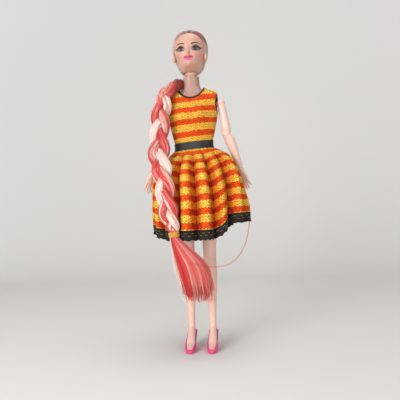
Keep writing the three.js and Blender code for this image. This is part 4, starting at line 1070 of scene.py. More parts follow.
def make_ponytail():
    count = 120
    path = curve_through([
        [0.5, 16.6, CHIN_Z + 9],
        [-1.8, 20.4, CHIN_Z + 2.5],
        [-8.5, 17.0, CHIN_Z - 5],
        [-13, 6, CHIN_Z - 7],
        [-12.8, -2.8, CHIN_Z - 8.2],
        [-14.4, -8.8, CHIN_Z - 11.8],
        [-18.8, -12.0, CHIN_Z - 16.4],
        [-23.2, -13.2, SHOULDER_Z + 8.6],
        [-24.2, -14.6, SHOULDER_Z + 4],
    ], count)
    tangents = unit(np.gradient(path, axis=0))
    side = unit(np.cross(tangents, [0, 1, 0.01]))
    high = np.cross(side, tangents)
    parts, tints = [], []
    mixes = ([PINK, 0.5, 0.3, PINK, 0.46], [RED, DEEP, 0.9, 0.5, RED], [0.46, RED, PINK, 0.8, RED])
    for k, tones in enumerate(mixes):
        a = np.linspace(0, 1.5, count) * np.pi + k * 2 * np.pi / 3
        spread = 2.2 * np.linspace(0.7, 1.15, count)
        off = spread[:, None] * np.column_stack([1.1 * np.cos(a), 0.8 * np.sin(a)])
        middle = path + side * off[:, :1] + high * off[:, 1:]
        width = np.linspace(2.4, 3.5, count) * taper(count, 0.4, 0.08)
        shape, tint = bundle(middle, np.column_stack([width, width * 0.85]), high, tones, 20 + k)
        parts.append(shape)
        tints.append(tint)
    tail, tint = joined(*parts), np.concatenate(tints)
    tint += 0.26 * smooth(-20, -8, tail.points[:, 0])
    made = piece("wound_ponytail", tail, HAIR, None, ["ponytail"], "blonde_hair", sharp=60, tint=tint)
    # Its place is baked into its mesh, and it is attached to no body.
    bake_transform(made)


def loop_of(middle, wide, deep, thick, tilt=0.0, n=64, m=14):
    """A closed ring of round cord."""
    points, faces, flow = [], [], []
    for i in range(n):
        a = 2 * math.pi * i / n
        out = np.array([math.cos(a), math.sin(a), 0])
        at = np.array(middle) + [wide * math.cos(a), deep * math.sin(a), tilt * math.cos(a)]
        for k in range(m):
            b = 2 * math.pi * k / m
            points.append(at + thick * (math.cos(b) * out + math.sin(b) * np.array([0, 0, 1.0])))
    for i in range(n):
        for k in range(m):
            j, o = (i + 1) % n, (k + 1) % m
            faces.append([i * m + k, j * m + k, j * m + o, i * m + o])
            u0, u1 = 1.25 * wide * i / n, 1.25 * wide * (i + 1) / n
            v0, v1 = thick * k / 2, thick * (k + 1) / 2
            flow.append([(u0, v0), (u1, v0), (u1, v1), (u0, v1)])
    return outward(Shape(points, faces, flow))


TIE = braid_middle(1.0) + [0, 0, -GAP]


def make_tie():
    loops = [
        loop_of(TIE + [0.0, 0, -0.9], 3.8, 3.2, 0.85, 0.3),
        loop_of(TIE + [0.0, 0, -2.2], 4.0, 3.4, 0.9, -0.4),
        loop_of(TIE + [0.1, 0, -3.5], 3.7, 3.1, 0.85, 0.35),
        loop_of(TIE + [0.1, -0.3, -2.1], 3.9, 3.5, 0.7, 1.5),
    ]
    drape(piece("wound_hair_tie", joined(*loops), ELASTIC, None, ["hair_tie"], "elastic"))


def tail_point(share, side, deep):
    at = profile([
        [0.0, 0.0, 0.0, 1.0, 3.6, 3.0],
        [0.08, 0.2, 0.0, -4.6, 3.4, 2.8],
        [0.2, 4.1, 1.2, -12.5, 6.8, 3.6],
        [0.45, 12.0, 4.6, -28.5, 13.6, 3.9],
        [0.75, 15.8, 7.4, -46.5, 14.4, 3.4],
        [1.0, 16.4, 8.6, -62, 13.2, 2.4],
    ])(share)
    return TIE + [at[0] + side * at[3], at[1] + deep * at[4], at[2]]


def tail_tone(side, rng):
    """From the front: cream at the left edge, then bright red, a pale streak and dull pinks at the right."""
    across = [-1, -0.9, -0.82, -0.45, -0.28, -0.18, -0.05, 0.4, 1]
    tone = np.interp(side, across, [0.1, 0.2, 0.66, 0.74, 0.6, 0.3, 0.47, 0.51, 0.43])
    return tone + rng.normal(0, 0.05)


TAIL_LOCKS = 190
GOLDEN_SHARE = 0.618034


def make_tail():
    rng = np.random.default_rng(11)
    parts, tints = [], []
    for number in range(TAIL_LOCKS):
        side = -1 + 2 * ((number * GOLDEN_SHARE) % 1)
        deep = rng.uniform(-0.85, 0.85) * math.sqrt(max(0.08, 1 - side * side))
        length = (0.99 - 0.1 * abs(side) ** 3) * rng.uniform(0.88, 1.0)
        drift = rng.normal(0, 0.05)
        t = np.linspace(0, length, 30)
        path = np.array([tail_point(k, (side + drift * k) * (0.88 if k < 0.1 else 0.95), deep) for k in t])
        width = (0.55 + 0.75 * smooth(0.0, 0.4, t)) * (1 - 0.9 * smooth(0.6 * length, length, t))
        width = width * rng.uniform(0.7, 1.2)
        parts.append(lock(path, np.column_stack([width, width * 0.6]), 9, 3, 0.08, (0, 1, 0.01), 0.1))
        tints.append(np.full(len(parts[-1].points), tail_tone(side, rng)))
    tint = np.concatenate(tints)
    drape(piece("fanned_hair_tail", joined(*parts), HAIR, None, ["hair_tail"], "red_hair", 60, tint))


def start_growth(name, *inputs):
    """A Geometry Nodes tree with these inputs of its own, and the node that gives them."""
    tree = bpy.data.node_groups.new(name, "GeometryNodeTree")
    for label, kind in (("Geometry", "Geometry"), *inputs, ("Finish", "Material")):
        tree.interface.new_socket(label, in_out="INPUT", socket_type="NodeSocket" + kind)
    tree.interface.new_socket("Geometry", in_out="OUTPUT", socket_type="NodeSocketGeometry")
    return tree, add(tree, "NodeGroupInput")


def end_growth(tree, ask, shape):
    real = add(tree, "GeometryNodeRealizeInstances", {"Geometry": shape})
    coat = add(tree, "GeometryNodeSetMaterial", {"Geometry": real, "Material": ask.outputs["Finish"]})
    add(tree, "NodeGroupOutput", {"Geometry": coat})
    return tree


def fibre_tree():
    """Sweeps a small round section along every spline of a curve."""
    tree, ask = start_growth("sweep fibres", ("Fibre radius", "Float"), ("Section sides", "Int"))
    circle = add(tree, "GeometryNodeCurvePrimitiveCircle", {"Resolution": ask.outputs["Section sides"],
                                                            "Radius": ask.outputs["Fibre radius"]})
    path = {"Curve": ask.outputs["Geometry"], "Profile Curve": circle, "Fill Caps": True}
    return end_growth(tree, ask, add(tree, "GeometryNodeCurveToMesh", path))


def bead_tree():
    """Lays small long beads along every spline, a fixed step apart."""
    sizes = [(label, "Float") for label in ("Step", "Bead radius", "Bead length")]
    tree, ask = start_growth("lay beads", *sizes)
    path = {"Curve": ask.outputs["Geometry"], "Length": ask.outputs["Step"]}
    path = add(tree, "GeometryNodeResampleCurve", path, mode="LENGTH")
    tangent = add(tree, "GeometryNodeInputTangent")
    turn = add(tree, "FunctionNodeAlignRotationToVector", {"Vector": tangent}, axis="Z")
    bead = add(tree, "GeometryNodeMeshIcoSphere", {"Radius": ask.outputs["Bead radius"], "Subdivisions": 2})
    size = add(tree, "ShaderNodeCombineXYZ", {"X": 1.0, "Y": 1.0, "Z": ask.outputs["Bead length"]})
    beads = {"Points": path, "Instance": bead, "Rotation": turn, "Scale": size}
    return end_growth(tree, ask, add(tree, "GeometryNodeInstanceOnPoints", beads))


def grown(name, tree, paths, inputs, finish, body, closed=False):
    """Runs a Geometry Nodes tree over splines and keeps the result as a plain mesh."""
    curve = bpy.data.curves.new("paths", "CURVE")
    curve.dimensions = "3D"
    for path in paths:
        spline = curve.splines.new("POLY")
        spline.points.add(len(path) - 1)
        flat = np.column_stack([(np.array(path) - [0, 0, WAIST_Z]) * MM, np.ones(len(path))])
        spline.points.foreach_set("co", flat.ravel())
        spline.use_cyclic_u = closed
    thing = placed("paths", curve)
    modifier = thing.modifiers.new("grow", "NODES")
    modifier.node_group = tree
    names = {item.name: item.identifier for item in tree.interface.items_tree if item.in_out == "INPUT"}
    for key, value in dict(inputs, Finish=finish).items():
        modifier[names[key]] = value
    bpy.context.view_layer.update()
    mesh = evaluated(thing)
    bpy.data.objects.remove(thing)
    mesh.name = name
    mesh.shade_smooth()
    made = placed(name, mesh)
    if body:
        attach(made, body)
    return made


FIBRES = fibre_tree()
BEADS = bead_tree()


# Joints, cut as in the solid model.


# A tongue's round eye as a share of the ball or the knuckle that it sits in.
BALL_EYE, KNUCKLE_EYE = 0.64, 0.76


def neck_half(radius, shaft):
    return min(0.45 * radius, 0.85 * shaft)


def swing_disc(disc, thick, shaft, reach, radius, tongue, pin, flange=None, shaft_from=0.0):
    face = -radius - GAP
    plate = rod("x", thick, disc, 48).moved(face - thick / 2, 0, 0)
    neck = box(-face + thick / 2, 2 * tongue, 2 * neck_half(radius, shaft)).moved(face / 2 - thick / 4, 0, 0)
    steps = [("join", rod("x", reach, shaft).moved(face - thick - reach / 2 + 0.01, 0, 0)), ("join", neck),
             ("join", rod("y", 2 * tongue, radius * BALL_EYE))]
    if flange:
        steps.append(("join", rod("x", 1.4, flange).moved(shaft_from + 0.7, 0, 0)))
    return worked(plate, *steps, ("cut", rod("y", 4 * tongue, pin + RUNNING)))


def tongue_slot(radius, shaft, tongue, lift):
    half = tongue + RUNNING
    edge = neck_half(radius, shaft) + RUNNING
    far = 2.4 * radius
    outline = [(0, -edge), (-far, -edge)]
    for degrees in np.linspace(0, lift, 9):
        a = math.radians(degrees)
        outline.append((-1.2 * far * math.cos(a), 1.2 * far * math.sin(a)))
    a = math.radians(lift + 3)
    c, s = -math.cos(a), math.sin(a)
    outline += [(far * c + edge * s, far * s - edge * c), (edge * s, -edge * c)]
    outline = np.array(outline)
    n = len(outline)
    flat = [np.column_stack([outline[:, 0], np.full(n, y), outline[:, 1]]) for y in (-half, half)]
    points = np.vstack(flat)
    faces = [list(range(n))[::-1], [i + n for i in range(n)]]
    faces += [[i, (i + 1) % n, (i + 1) % n + n, i + n] for i in range(n)]
    sector = outward(Shape(points, faces))
    return worked(sector, ("join", rod("y", 2 * half, radius * BALL_EYE + RUNNING + 0.1)))


def hinge(upper, lower, knuckle, width, tongue, pin, share, straight, backward):
    """The pivot is the origin, the pin lies along Y and the lower limb folds to +X."""
    half = tongue + RUNNING

    def wedge(up):
        a, b = math.radians(share), math.radians(straight)
        folded = np.array([-math.cos(a), 0, up * math.sin(a)])
        opened = np.array([math.cos(b), 0, up * math.sin(b)])
        return [("cut", under(folded, 0)), ("cut", under(opened, 0))]

    eye = KNUCKLE_EYE * knuckle
    behind = eye + RUNNING + knuckle * math.sin(math.radians(backward))
    tall = eye + GAP
    block = box(behind + 3 * knuckle, 2 * half, 2 * knuckle)
    slot = worked(
        rod("y", 2 * half, eye + GAP),
        ("join", block.moved((3 * knuckle - behind) / 2, 0, -knuckle)),
        ("join", box(3 * knuckle, 2 * half, tall).moved(1.5 * knuckle, 0, tall / 2 - 0.1)),
    )
    disc = worked(rod("y", 2 * width, knuckle, 48), ("keep", rod("z", 3 * knuckle, width, 48)))
    bore = rod("y", 4 * width, pin + PIN_FIT)
    fork = worked(worked(upper, *wedge(1)), ("join", disc), ("cut", slot), ("cut", bore))
    stalk = box(1.8 * eye, 2 * tongue, knuckle + 1.6).moved(0, 0, -(knuckle + 1.6) / 2)
    blade = worked(rod("y", 2 * tongue, eye), ("join", stalk))
    arm = worked(
        worked(lower, *wedge(-1)),
        ("cut", rod("y", 4 * width, knuckle + GAP, 48)),
        ("join", blade),
        ("cut", rod("y", 4 * width, pin + RUNNING)),
    )
    return fork, arm, rod("y", 2 * width - 0.5, pin)


def limb(rows, n=48, per_row=7):
    """A round limb through rows of height, place and radius."""
    rows = sorted(rows)
    keys = [row[0] for row in rows]
    at = profile(rows)
    steps = [np.linspace(a, b, per_row, endpoint=False) for a, b in zip(keys, keys[1:])]
    heights = np.concatenate(steps + [[keys[-1]]])
    return loft([ring(at(z)[0], at(z)[1], z, at(z)[2], at(z)[2], at(z)[2], n) for z in heights])


def tube(stations, n=32, count=40, flat=(0, 1, 0.01)):
    """A closed tube through stations of place, width radius and height radius."""
    s = np.array(stations, float)
    path = curve_through(s[:, :3], count)
    sizes = profile(np.column_stack([np.linspace(0, 1, len(s)), s[:, 3:5]]))
    return loft(along_path(path, [sizes(k) for k in np.linspace(0, 1, count)], n, up=flat))


def softened(shapes, voxel, rounds, keep=None):
    """Melts overlapping shapes into one skin, as a mould does at a web or fillet."""
    thing = placed("soften", to_mesh(joined(*shapes)))
    remesh = thing.modifiers.new("melt", "REMESH")
    remesh.mode = "VOXEL"
    remesh.voxel_size = voxel
    soft = thing.modifiers.new("soft", "SMOOTH")
    soft.factor = 0.5
    soft.iterations = rounds
    done = as_shape(evaluated(thing))
    bpy.data.objects.remove(thing)
    return outward(done)


ARM_TONGUE, ARM_PIN, ARM_SWING, FOREARM_TILT, WRIST, HAND_PEG, KNUCKLE = 1.2, 1.15, 6, 18, 2.7, 1.2, 4.6
ELBOW = (SHOULDER_X + 3.8, 0.0, SHOULDER_Z - 24.5)
FOREARM = 36.5


def hand_shape():
    palm = loft([
        ring(0, 0, 0, WRIST, WRIST, WRIST, 32),
        ring(0, 0, -2, 2.6, 2.3, 2.3, 32),
        ring(0, 0, -4, 2.95, 2.05, 2.05, 32),
        ring(0, 0, -6, 3.6, 1.8, 1.8, 32),
        ring(0, 0.1, -8, 3.95, 1.75, 1.7, 32),
        ring(0, 0.1, -10, 4.0, 1.6, 1.6, 32),
        ring(0, 0.2, -12.4, 3.8, 1.2, 1.2, 32),
    ])
    parts = [palm]
    for x, length, spread in [(-2.9, 9.4, -0.5), (-1.0, 10.6, -0.1), (1.0, 9.8, 0.4), (2.9, 7.2, 1.2)]:
        parts.append(tube([
            [x * 0.92, 0.0, -8.6, 0.95, 1.0],
            [x, -0.1, -11.4, 1.0, 1.05],
            [x + spread * 0.4, 0.0, -11 - length * 0.45, 0.88, 0.92],
            [x + spread * 0.7, 0.35, -11 - length * 0.75, 0.84, 0.86],
            [x + spread, 0.7, -11 - length * 0.94, 0.72, 0.72],
            [x + spread, 0.8, -11 - length, 0.35, 0.35],
        ], 16, 26))
    parts.append(tube([
        [-2.0, 0.2, -2.6, 1.2, 1.3],
        [-2.9, 0.6, -5, 1.2, 1.25],
        [-3.6, 1.1, -7.6, 1.05, 1.1],
        [-3.95, 1.8, -10.2, 0.88, 0.92],
        [-3.9, 2.0, -11.5, 0.4, 0.4],
    ], 16, 22))
    return softened(parts, 0.21, 3)


def pair(name, shape, finish, slot="hard_skin"):
    """The left piece of a limb and its mirrored right one."""
    for side, part in (("left", shape), ("right", shape.mirrored())):
        node = f"{side}_{name}"
        piece(f"{node}_shell", part, finish, BODY_OF[node], [node], slot, sharp=50)


def make_arms():
    to_elbow = [-c for c in ELBOW]
    upper = limb([
        [SHOULDER_Z - 26, ELBOW[0], 0, KNUCKLE - 0.1],
        [SHOULDER_Z - 22, SHOULDER_X + 3.5, 0, 4.4],
        [SHOULDER_Z - 18, SHOULDER_X + 3, 0, 4.1],
        [SHOULDER_Z - 13, SHOULDER_X + 2.3, 0, 3.85],
        [SHOULDER_Z - 8, SHOULDER_X + 1.6, 0, 3.8],
        [SHOULDER_Z - 4, SHOULDER_X + 0.9, 0, 3.75],
        [SHOULDER_Z, SHOULDER_X + 0.3, 0, 3.5],
    ]).moved(*to_elbow)
    lower = limb([
        [3, 0, 0, KNUCKLE - 0.1],
        [-1, 0, 0, KNUCKLE],
        [-6, 0, 0, 4.75],
        [-13, 0, 0, 4.6],
        [-21, 0, 0, 4.0],
        [-29, 0, 0, 3.3],
        [-FOREARM + GAP, 0, 0, WRIST],
    ])
    socket = rod("z", 9, HAND_PEG + RUNNING).moved(0, 0, -FOREARM)
    lower = worked(lower, ("cut", socket)).turned("Y", -FOREARM_TILT)
    fork, arm, pin = hinge(upper, lower, KNUCKLE, KNUCKLE - 0.1, 1.4, 1.3, 46, 82, 12)
    away = (ELBOW[0] - SHOULDER_X, 0, ELBOW[2] - SHOULDER_Z)
    upper_arm = worked(
        fork.moved(*away),
        ("join", ball(ARM_BALL, 48)),
        ("cut", tongue_slot(ARM_BALL, ARM_SHAFT, ARM_TONGUE, 90)),
        ("cut", rod("y", 14, ARM_PIN + PIN_FIT)),
    )
    hand = worked(hand_shape(), ("join", rod("z", 4.2, HAND_PEG).moved(0, 0, 2)))
    hand = hand.turned("Z", -32).moved(0, 0, -FOREARM).turned("Y", -FOREARM_TILT)
    reach = 10.6
    disc = swing_disc(DISC_RADIUS, DISC_THICK, ARM_SHAFT, reach, ARM_BALL, ARM_TONGUE, ARM_PIN, ARM_SHAFT + 1,
                      -ARM_BALL - GAP - DISC_THICK - reach)
    parts = [
        ("shoulder_disc", disc, SKIN),
        ("shoulder_pin", rod("y", 2 * ARM_BALL - 0.9, ARM_PIN), PIN_SKIN),
        ("upper_arm", upper_arm, SKIN),
        ("elbow_pin", pin.moved(*away), PIN_SKIN),
        ("forearm", arm.moved(*away), SKIN),
        ("hand", hand.moved(*away), SKIN),
    ]
    for name, shape, finish in parts:
        pair(name, shape.turned("X", ARM_SWING).moved(SHOULDER_X, 0, SHOULDER_Z), finish)


KNEE_X, KNEE_Y, KNEE_RADIUS, ANKLE_Z = 9.8, -0.5, 5.9, 26.0
LEG_TONGUE, LEG_PIN, HIP_TONGUE, HIP_PIN = 1.7, 1.5, 1.7, 1.6


def foot_form(grow, top=ANKLE_Z):
    arch = tube([
        [0, 2.4, top, 3.2 + grow, 3.2 + grow],
        [0, 2.2, 20, 3.2 + grow, 3.6 + grow],
        [0, 0.4, 15.4, 3.3 + grow, 4.3 + grow],
        [0, -5.4, 10.4, 3.5 + grow, 3.7 + grow],
        [0, -11.6, 5.6, 4.0 + grow, 2.7 + grow],
        [0, -17, 3.7, 3.5 + grow, 1.9 + grow],
        [0, -19.4, 3.3, 2.0 + grow, 1.2 + grow],
    ], 36, 44)
    heel = ball(1, 32).scaled(3 + grow, 3.4 + grow, 3.7 + grow).moved(0, 3.9, 15.4)
    return arch, heel


def shoe_shape():
    rows = profile([
        [-21.2, 1.5, 0.5, 3.0],
        [-19.8, 3.2, -0.2, 4.6],
        [-16, 4.7, -0.5, 6.8],
        [-11.5, 5.1, -0.4, 9.4],
        [-7, 4.6, 2.6, 12],
        [-2, 4.4, 6.2, 15],
        [3, 4.4, 9, 18],
        [6.8, 4.2, 10.2, 19],
        [8.4, 2.6, 11.4, 18],
    ])
    sections = []
    for y in np.linspace(-21.2, 8.4, 70):
        half, low, high = rows(y)
        p = ring(0, 0, 0, half, (high - low) / 2, (high - low) / 2, 48, 2.6)
        sections.append(np.column_stack([p[:, 0], np.full(48, y), (low + high) / 2 + p[:, 1]]))
    heel = limb([[0, 0, 6.1, 1.45], [6, 0, 5.8, 1.9], [11.5, 0, 5.0, 3.0]], 36)
    top = unit(np.array([0, 0.4, -1]))
    arch, back = foot_form(SKIN_GAP)
    return worked(
        loft(sections),
        ("cut", under((0, 0, 1), 0)),
        ("cut", under(top, float(top @ np.array([0, -11.2, 7.2])))),
        ("join", heel),
        ("cut", arch),
        ("cut", back),
    )


def make_legs():
    upper = limb([
        [HIP_Z - 74, KNEE_X, KNEE_Y, KNEE_RADIUS],
        [HIP_Z - 64, HIP_X - 3.1, -0.5, 6.2],
        [HIP_Z - 53, HIP_X - 2.7, -0.4, 6.8],
        [HIP_Z - 40, HIP_X - 2, -0.2, 7.7],
        [HIP_Z - 26, HIP_X - 1.2, 0, 8.8],
        [HIP_Z - 13, HIP_X - 0.5, 0.2, 9.6],
        [HIP_Z - 6, HIP_X - 0.2, 0.2, 9.9],
        [HIP_Z, HIP_X, 0, 9.3],
    ], 56).moved(-KNEE_X, -KNEE_Y, -KNEE_Z).turned("Z", -90)
    down = lambda share: -share * (KNEE_Z - ANKLE_Z)
    shin = limb([
        [down(1.0), 0, 2.9, 3.22],
        [down(0.9), 0, 2.85, 3.45],
        [down(0.78), 0, 2.7, 4.0],
        [down(0.54), 0, 2.4, 5.3],
        [down(0.34), 0, 1.9, 6.1],
        [down(0.2), 0, 1.0, 6.0],
        [down(0.07), 0, 0, KNEE_RADIUS],
        [4, 0, 0, 5.8],
    ], 48).turned("Z", -90)
    fork, arm, pin = hinge(upper, shin, KNEE_RADIUS, KNEE_RADIUS, LEG_TONGUE, LEG_PIN, 33, 88, 2)
    thigh = worked(
        fork.turned("Z", 90).moved(KNEE_X - HIP_X, KNEE_Y, KNEE_Z - HIP_Z),
        ("join", ball(HIP_BALL, 56)),
        ("cut", tongue_slot(HIP_BALL, HIP_SHAFT, HIP_TONGUE, 15)),
        ("cut", rod("y", 26, HIP_PIN + PIN_FIT)),
    )
    disc = swing_disc(HIP_SHAFT, 0.6, HIP_SHAFT, HIP_X - HIP_BALL - 1.05, HIP_BALL, HIP_TONGUE, HIP_PIN)
    arch, heel = foot_form(0, ANKLE_Z + 1)
    leg = worked(arm.turned("Z", 90).moved(0, KNEE_Y, KNEE_Z), ("join", arch), ("join", heel))
    hip = (HIP_X, 0, HIP_Z)
    parts = [
        ("hip_disc", disc.moved(*hip), SKIN),
        ("hip_pin", rod("y", 2 * HIP_BALL - 1, HIP_PIN).moved(*hip), PIN_SKIN),
        ("thigh", thigh.moved(*hip), SKIN),
        ("knee_pin", pin.turned("Z", 90).moved(KNEE_X, KNEE_Y, KNEE_Z), PIN_SKIN),
        ("shin_and_foot", leg.moved(KNEE_X, 0, 0), SKIN),
        ("shoe", shoe_shape().moved(KNEE_X, 0, 0), SHOE, "shoe_plastic"),
    ]
    for part in parts:
        pair(*part)


# Dress.

BAND_LOW, BAND_HIGH = WAIST_Z - 5, WAIST_Z + 1.6


def front_arc(z_from, z_to, grow):
    """Length of cloth down the front from one height to another."""
    heights = np.linspace(z_from, z_to, 200)
    depth = np.array([trunk_size(z)[1] + 0.9 * trunk_size(z)[3] + grow for z in heights])
    steps = np.hypot(np.diff(heights), np.diff(depth))
    return heights, np.concatenate([[0], np.cumsum(steps)])


def waist_tilt(x, z):
    """How far the belt and the cloth next to it sit higher on the doll's left than on its right."""
    return 0.07 * x * np.exp(-(((z - WAIST_Z + 2) / 13) ** 2))


def tilted(shape):
    shape.points[:, 2] += waist_tilt(shape.points[:, 0], shape.points[:, 2])
    return shape


def make_bodice():
    grow = SKIN_GAP + CLOTH
    garment = worked(
        trunk_form(BAND_HIGH + GAP, SHOULDER_Z + 15, grow, 128, 0.6),
        ("cut", trunk_form(BAND_HIGH - 2, SHOULDER_Z + 18, SKIN_GAP, 128, 0.6)),
    )
    scoop = lambda r: rod("y", 60, r, 96).turned("X", 5).moved(0, 0, SHOULDER_Z + 19)
    hole = lambda r: rod("x", 24, 1, 72).scaled(1, r, r * 1.22).moved(SHOULDER_X, 0, SHOULDER_Z - 1)
    edge, neck, arm = 1.5, 12.0, 5.5
    heights, arcs = front_arc(BAND_HIGH, SHOULDER_Z + 14, grow)
    open_arms = ("cut", hole(arm + edge)), ("cut", hole(arm + edge).mirrored())
    body = worked(garment, ("cut", scoop(neck + edge)), *open_arms)
    body = wrapped(tilted(body), 16, 19, 10.5)
    # The stripes climb a little towards the doll's left.
    climb = lambda u, v: v - 1.5 * math.sin(u / 16)
    body.flow = [
        [(u, float(np.interp(climb(u, v), heights, arcs)) - 1.9) for u, v in corner] for corner in body.flow
    ]
    # Painted shade: the whole bodice takes the knit's fold colours at about four tenths, as deep as the skirt
    # half way into a fold, with a slow wave across it.
    tint = 0.4 + 0.08 * np.sin(body.points[:, 0] / 5)
    bodice = piece("knitted_bodice", body, KNIT, "trunk", ["bodice"], "striped_knit", sharp=60, tint=tint)
    neck_band = worked(garment, ("keep", scoop(neck + edge - 0.1)), ("cut", scoop(neck)), *open_arms)
    neck_band = wrapped(neck_band, 14)
    piece("neckline_bias_binding", neck_band, BINDING, "trunk", ["neckline_binding"], "black_trim")
    around_arm = ("keep", hole(arm + edge - 0.1)), ("cut", hole(arm))
    arm_band = worked(garment, *around_arm, ("cut", scoop(neck + edge)))
    for side, shape in (("left", arm_band), ("right", arm_band.mirrored())):
        name, stands_for = f"{side}_armhole_bias_binding", [f"{side}_armhole_binding"]
        piece(name, wrapped(shape, 20), BINDING, "trunk", stands_for, "black_trim")
    band = worked(
        trunk_form(BAND_LOW, BAND_HIGH, SKIN_GAP + 1.9, 128, 0.4),
        ("cut", trunk_form(BAND_LOW - 1, BAND_HIGH + 1, SKIN_GAP, 128, 0.4)),
    )
    belt = wrapped(tilted(band), 14, 17, 10)
    piece("satin_waist_ribbon", belt, SATIN, "trunk", ["waistband"], "black_trim", sharp=50)
    overlap = grow + GAP
    tape = worked(
        trunk_form(BAND_HIGH + 1, SHOULDER_Z + 5, overlap + 0.9, 128, 0.6),
        ("cut", trunk_form(BAND_HIGH, SHOULDER_Z + 6, overlap, 128, 0.6)),
        ("keep", box(6, 30, 80).moved(0, 15, SHOULDER_Z - 15)),
    )
    piece("back_hook_tape", tape, TAPE, "trunk", ["back_closure"], "closure_tape")


skirt_size = profile([
    [0, 17.5, 11.2],
    [0.06, 22.0, 14.6],
    [0.12, 27.2, 18.8],
    [0.21, 32.6, 24.6],
    [0.33, 37.2, 29.8],
    [0.5, 40.0, 33.4],
    [0.67, 41.6, 35.6],
    [0.84, 42.2, 36.8],
    [1, 42.2, 37.2],
    [1.12, 41.8, 37.0],
])
SKIRT_LENGTH, HEM_DEPTH, PLEATS, SKIRT_FORWARD, SKIRT_ASIDE = 71.0, 7.6, 16, 3.0, 3.6
DRAPE_RISE, DEEP_FOLD, HAND_PRESS = 12.0, 3.0, 10.5
# The sewn dress has deeper valleys than its plain solid, and its hem rises a little at the doll's right.
VALLEY, RIGHT_RISE = 4.2, 6.5
SKIRT_TOP = BAND_LOW - GAP
# The skirt's columns all round, and the radius that lays them out flat.
COLUMNS, FLAT_RADIUS = 448, 43
DEEP_FOLD_AT = -0.87


def skirt_row(down, grow, a):
    """One row of the skirt at the angles a: narrow valleys part wide pleats, the cloth rises over the left
    hip and the left hand presses it in."""
    wide, deep = skirt_size(down)
    turn = half_turn(a)
    crown = (1 - np.cos(PLEATS * a)) / 2
    pleat = (2 * crown**0.65 - 1) * (0.5 + 2.3 * min(1, 2 * down))
    gather = 0.45 * np.sin(40 * a + 2 * np.sin(3 * a)) * math.exp(-down * 7) * smooth(0, 0.05, down)
    ripple = 0.3 * np.sin(23 * a + 5 * down + 1.3 * np.sin(2 * a)) * smooth(0.05, 0.5, down)
    drift = 0.5 * np.sin(3 * a + 1) * down
    deep_fold = DEEP_FOLD * np.exp(-(((turn - DEEP_FOLD_AT) / 0.16) ** 2)) * min(1, 3 * down)
    pressed = HAND_PRESS * np.exp(-(((turn - 0.25) / 0.55) ** 2))
    pressed = pressed * smooth(0, 0.45, down) * (1 - 0.85 * smooth(0.5, 1, down))
    valley = VALLEY * (1 - crown) ** 5 * smooth(0, 0.16, down)
    right = np.exp(-(((np.pi - np.abs(turn)) / 0.75) ** 2))
    size = pleat + gather + ripple + drift + grow - pressed - deep_fold - valley - 2.6 * right * down
    rising = smooth(-1.22, -0.72, turn) * (1 - smooth(0.5, 1.6, turn))
    rise = DRAPE_RISE * rising * math.sin(min(1, down / 0.65) * math.pi / 2)
    rise = rise + RIGHT_RISE * right * smooth(0, 0.9, down)
    rise = rise - 0.5 * (1 - crown) ** 3 * smooth(0, 0.3, down)
    x = SKIRT_ASIDE * min(1, 1.6 * down) + (wide + size) * np.cos(a)
    y = (deep + size) * np.sin(a) - SKIRT_FORWARD * min(1, 2 * down)
    z = SKIRT_TOP - SKIRT_LENGTH * down + rise + 1.2 * np.cos(a + 0.4) * down
    return np.column_stack([x, y, z + waist_tilt(x, z)])


def skirt_columns():
    """Angles from the back seam over the doll's right side, the front and its left side back to the seam."""
    return np.arange(COLUMNS // 4, 5 * COLUMNS // 4 + 1) * 2 * np.pi / COLUMNS


def half_of_skirt(side):
    return slice(0, COLUMNS // 2 + 1) if side == "right" else slice(COLUMNS // 2, COLUMNS + 1)


def follow_leg(thing):
    """The skirt is parted in its middle valleys at front and back; this bakes a half's place into its mesh
    and attaches it to no body."""
    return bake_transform(thing)


def make_skirt(side):
    part = half_of_skirt(side)
    a = skirt_columns()
    downs = np.linspace(0, 1, 64)
    outer = np.array([skirt_row(d, CLOTH, a) for d in downs])
    inner = np.array([skirt_row(d, 0.35, a) for d in downs])
    steps = np.linalg.norm(np.diff(outer, axis=0), axis=2)
    arcs = np.vstack([np.zeros(len(a)), np.cumsum(steps, axis=0)])
    front = float(arcs[-1][COLUMNS // 2])
    lengths = [(0.5 + arcs[r] * front / arcs[-1])[part] for r in range(len(downs))]
    skirt = cloth(outer[:, part], inner[:, part], FLAT_RADIUS * a[part], lengths)
    # Painted shade: this tint deepens and reddens the knit in the closed pleat valleys, half as much over the
    # doll's left side, and most in the deep fold at the front left.
    turn = half_turn(a)
    shut = ((1 + np.cos(PLEATS * a)) / 2) ** 0.9
    open_side = 1 - 0.5 * smooth(-0.85, -0.4, turn) * (1 - smooth(1.2, 2.0, turn))
    fold = np.array([np.minimum(1, 1.35 * shut * open_side) * smooth(0.02, 0.2, d) for d in downs])
    deep = np.exp(-(((turn - DEEP_FOLD_AT) / 0.13) ** 2)) * np.minimum(1, 3 * downs)[:, None]
    fold = np.maximum(fold, 0.9 * deep)[:, part]
    tint = np.concatenate([fold.reshape(-1), fold[::-1].reshape(-1)])
    name, stands_for = f"gathered_knit_skirt_{side}", ["skirt"] * (side == "left")
    made = piece(name, skirt, KNIT, None, stands_for, "striped_knit", 80, tint)
    follow_leg(made)


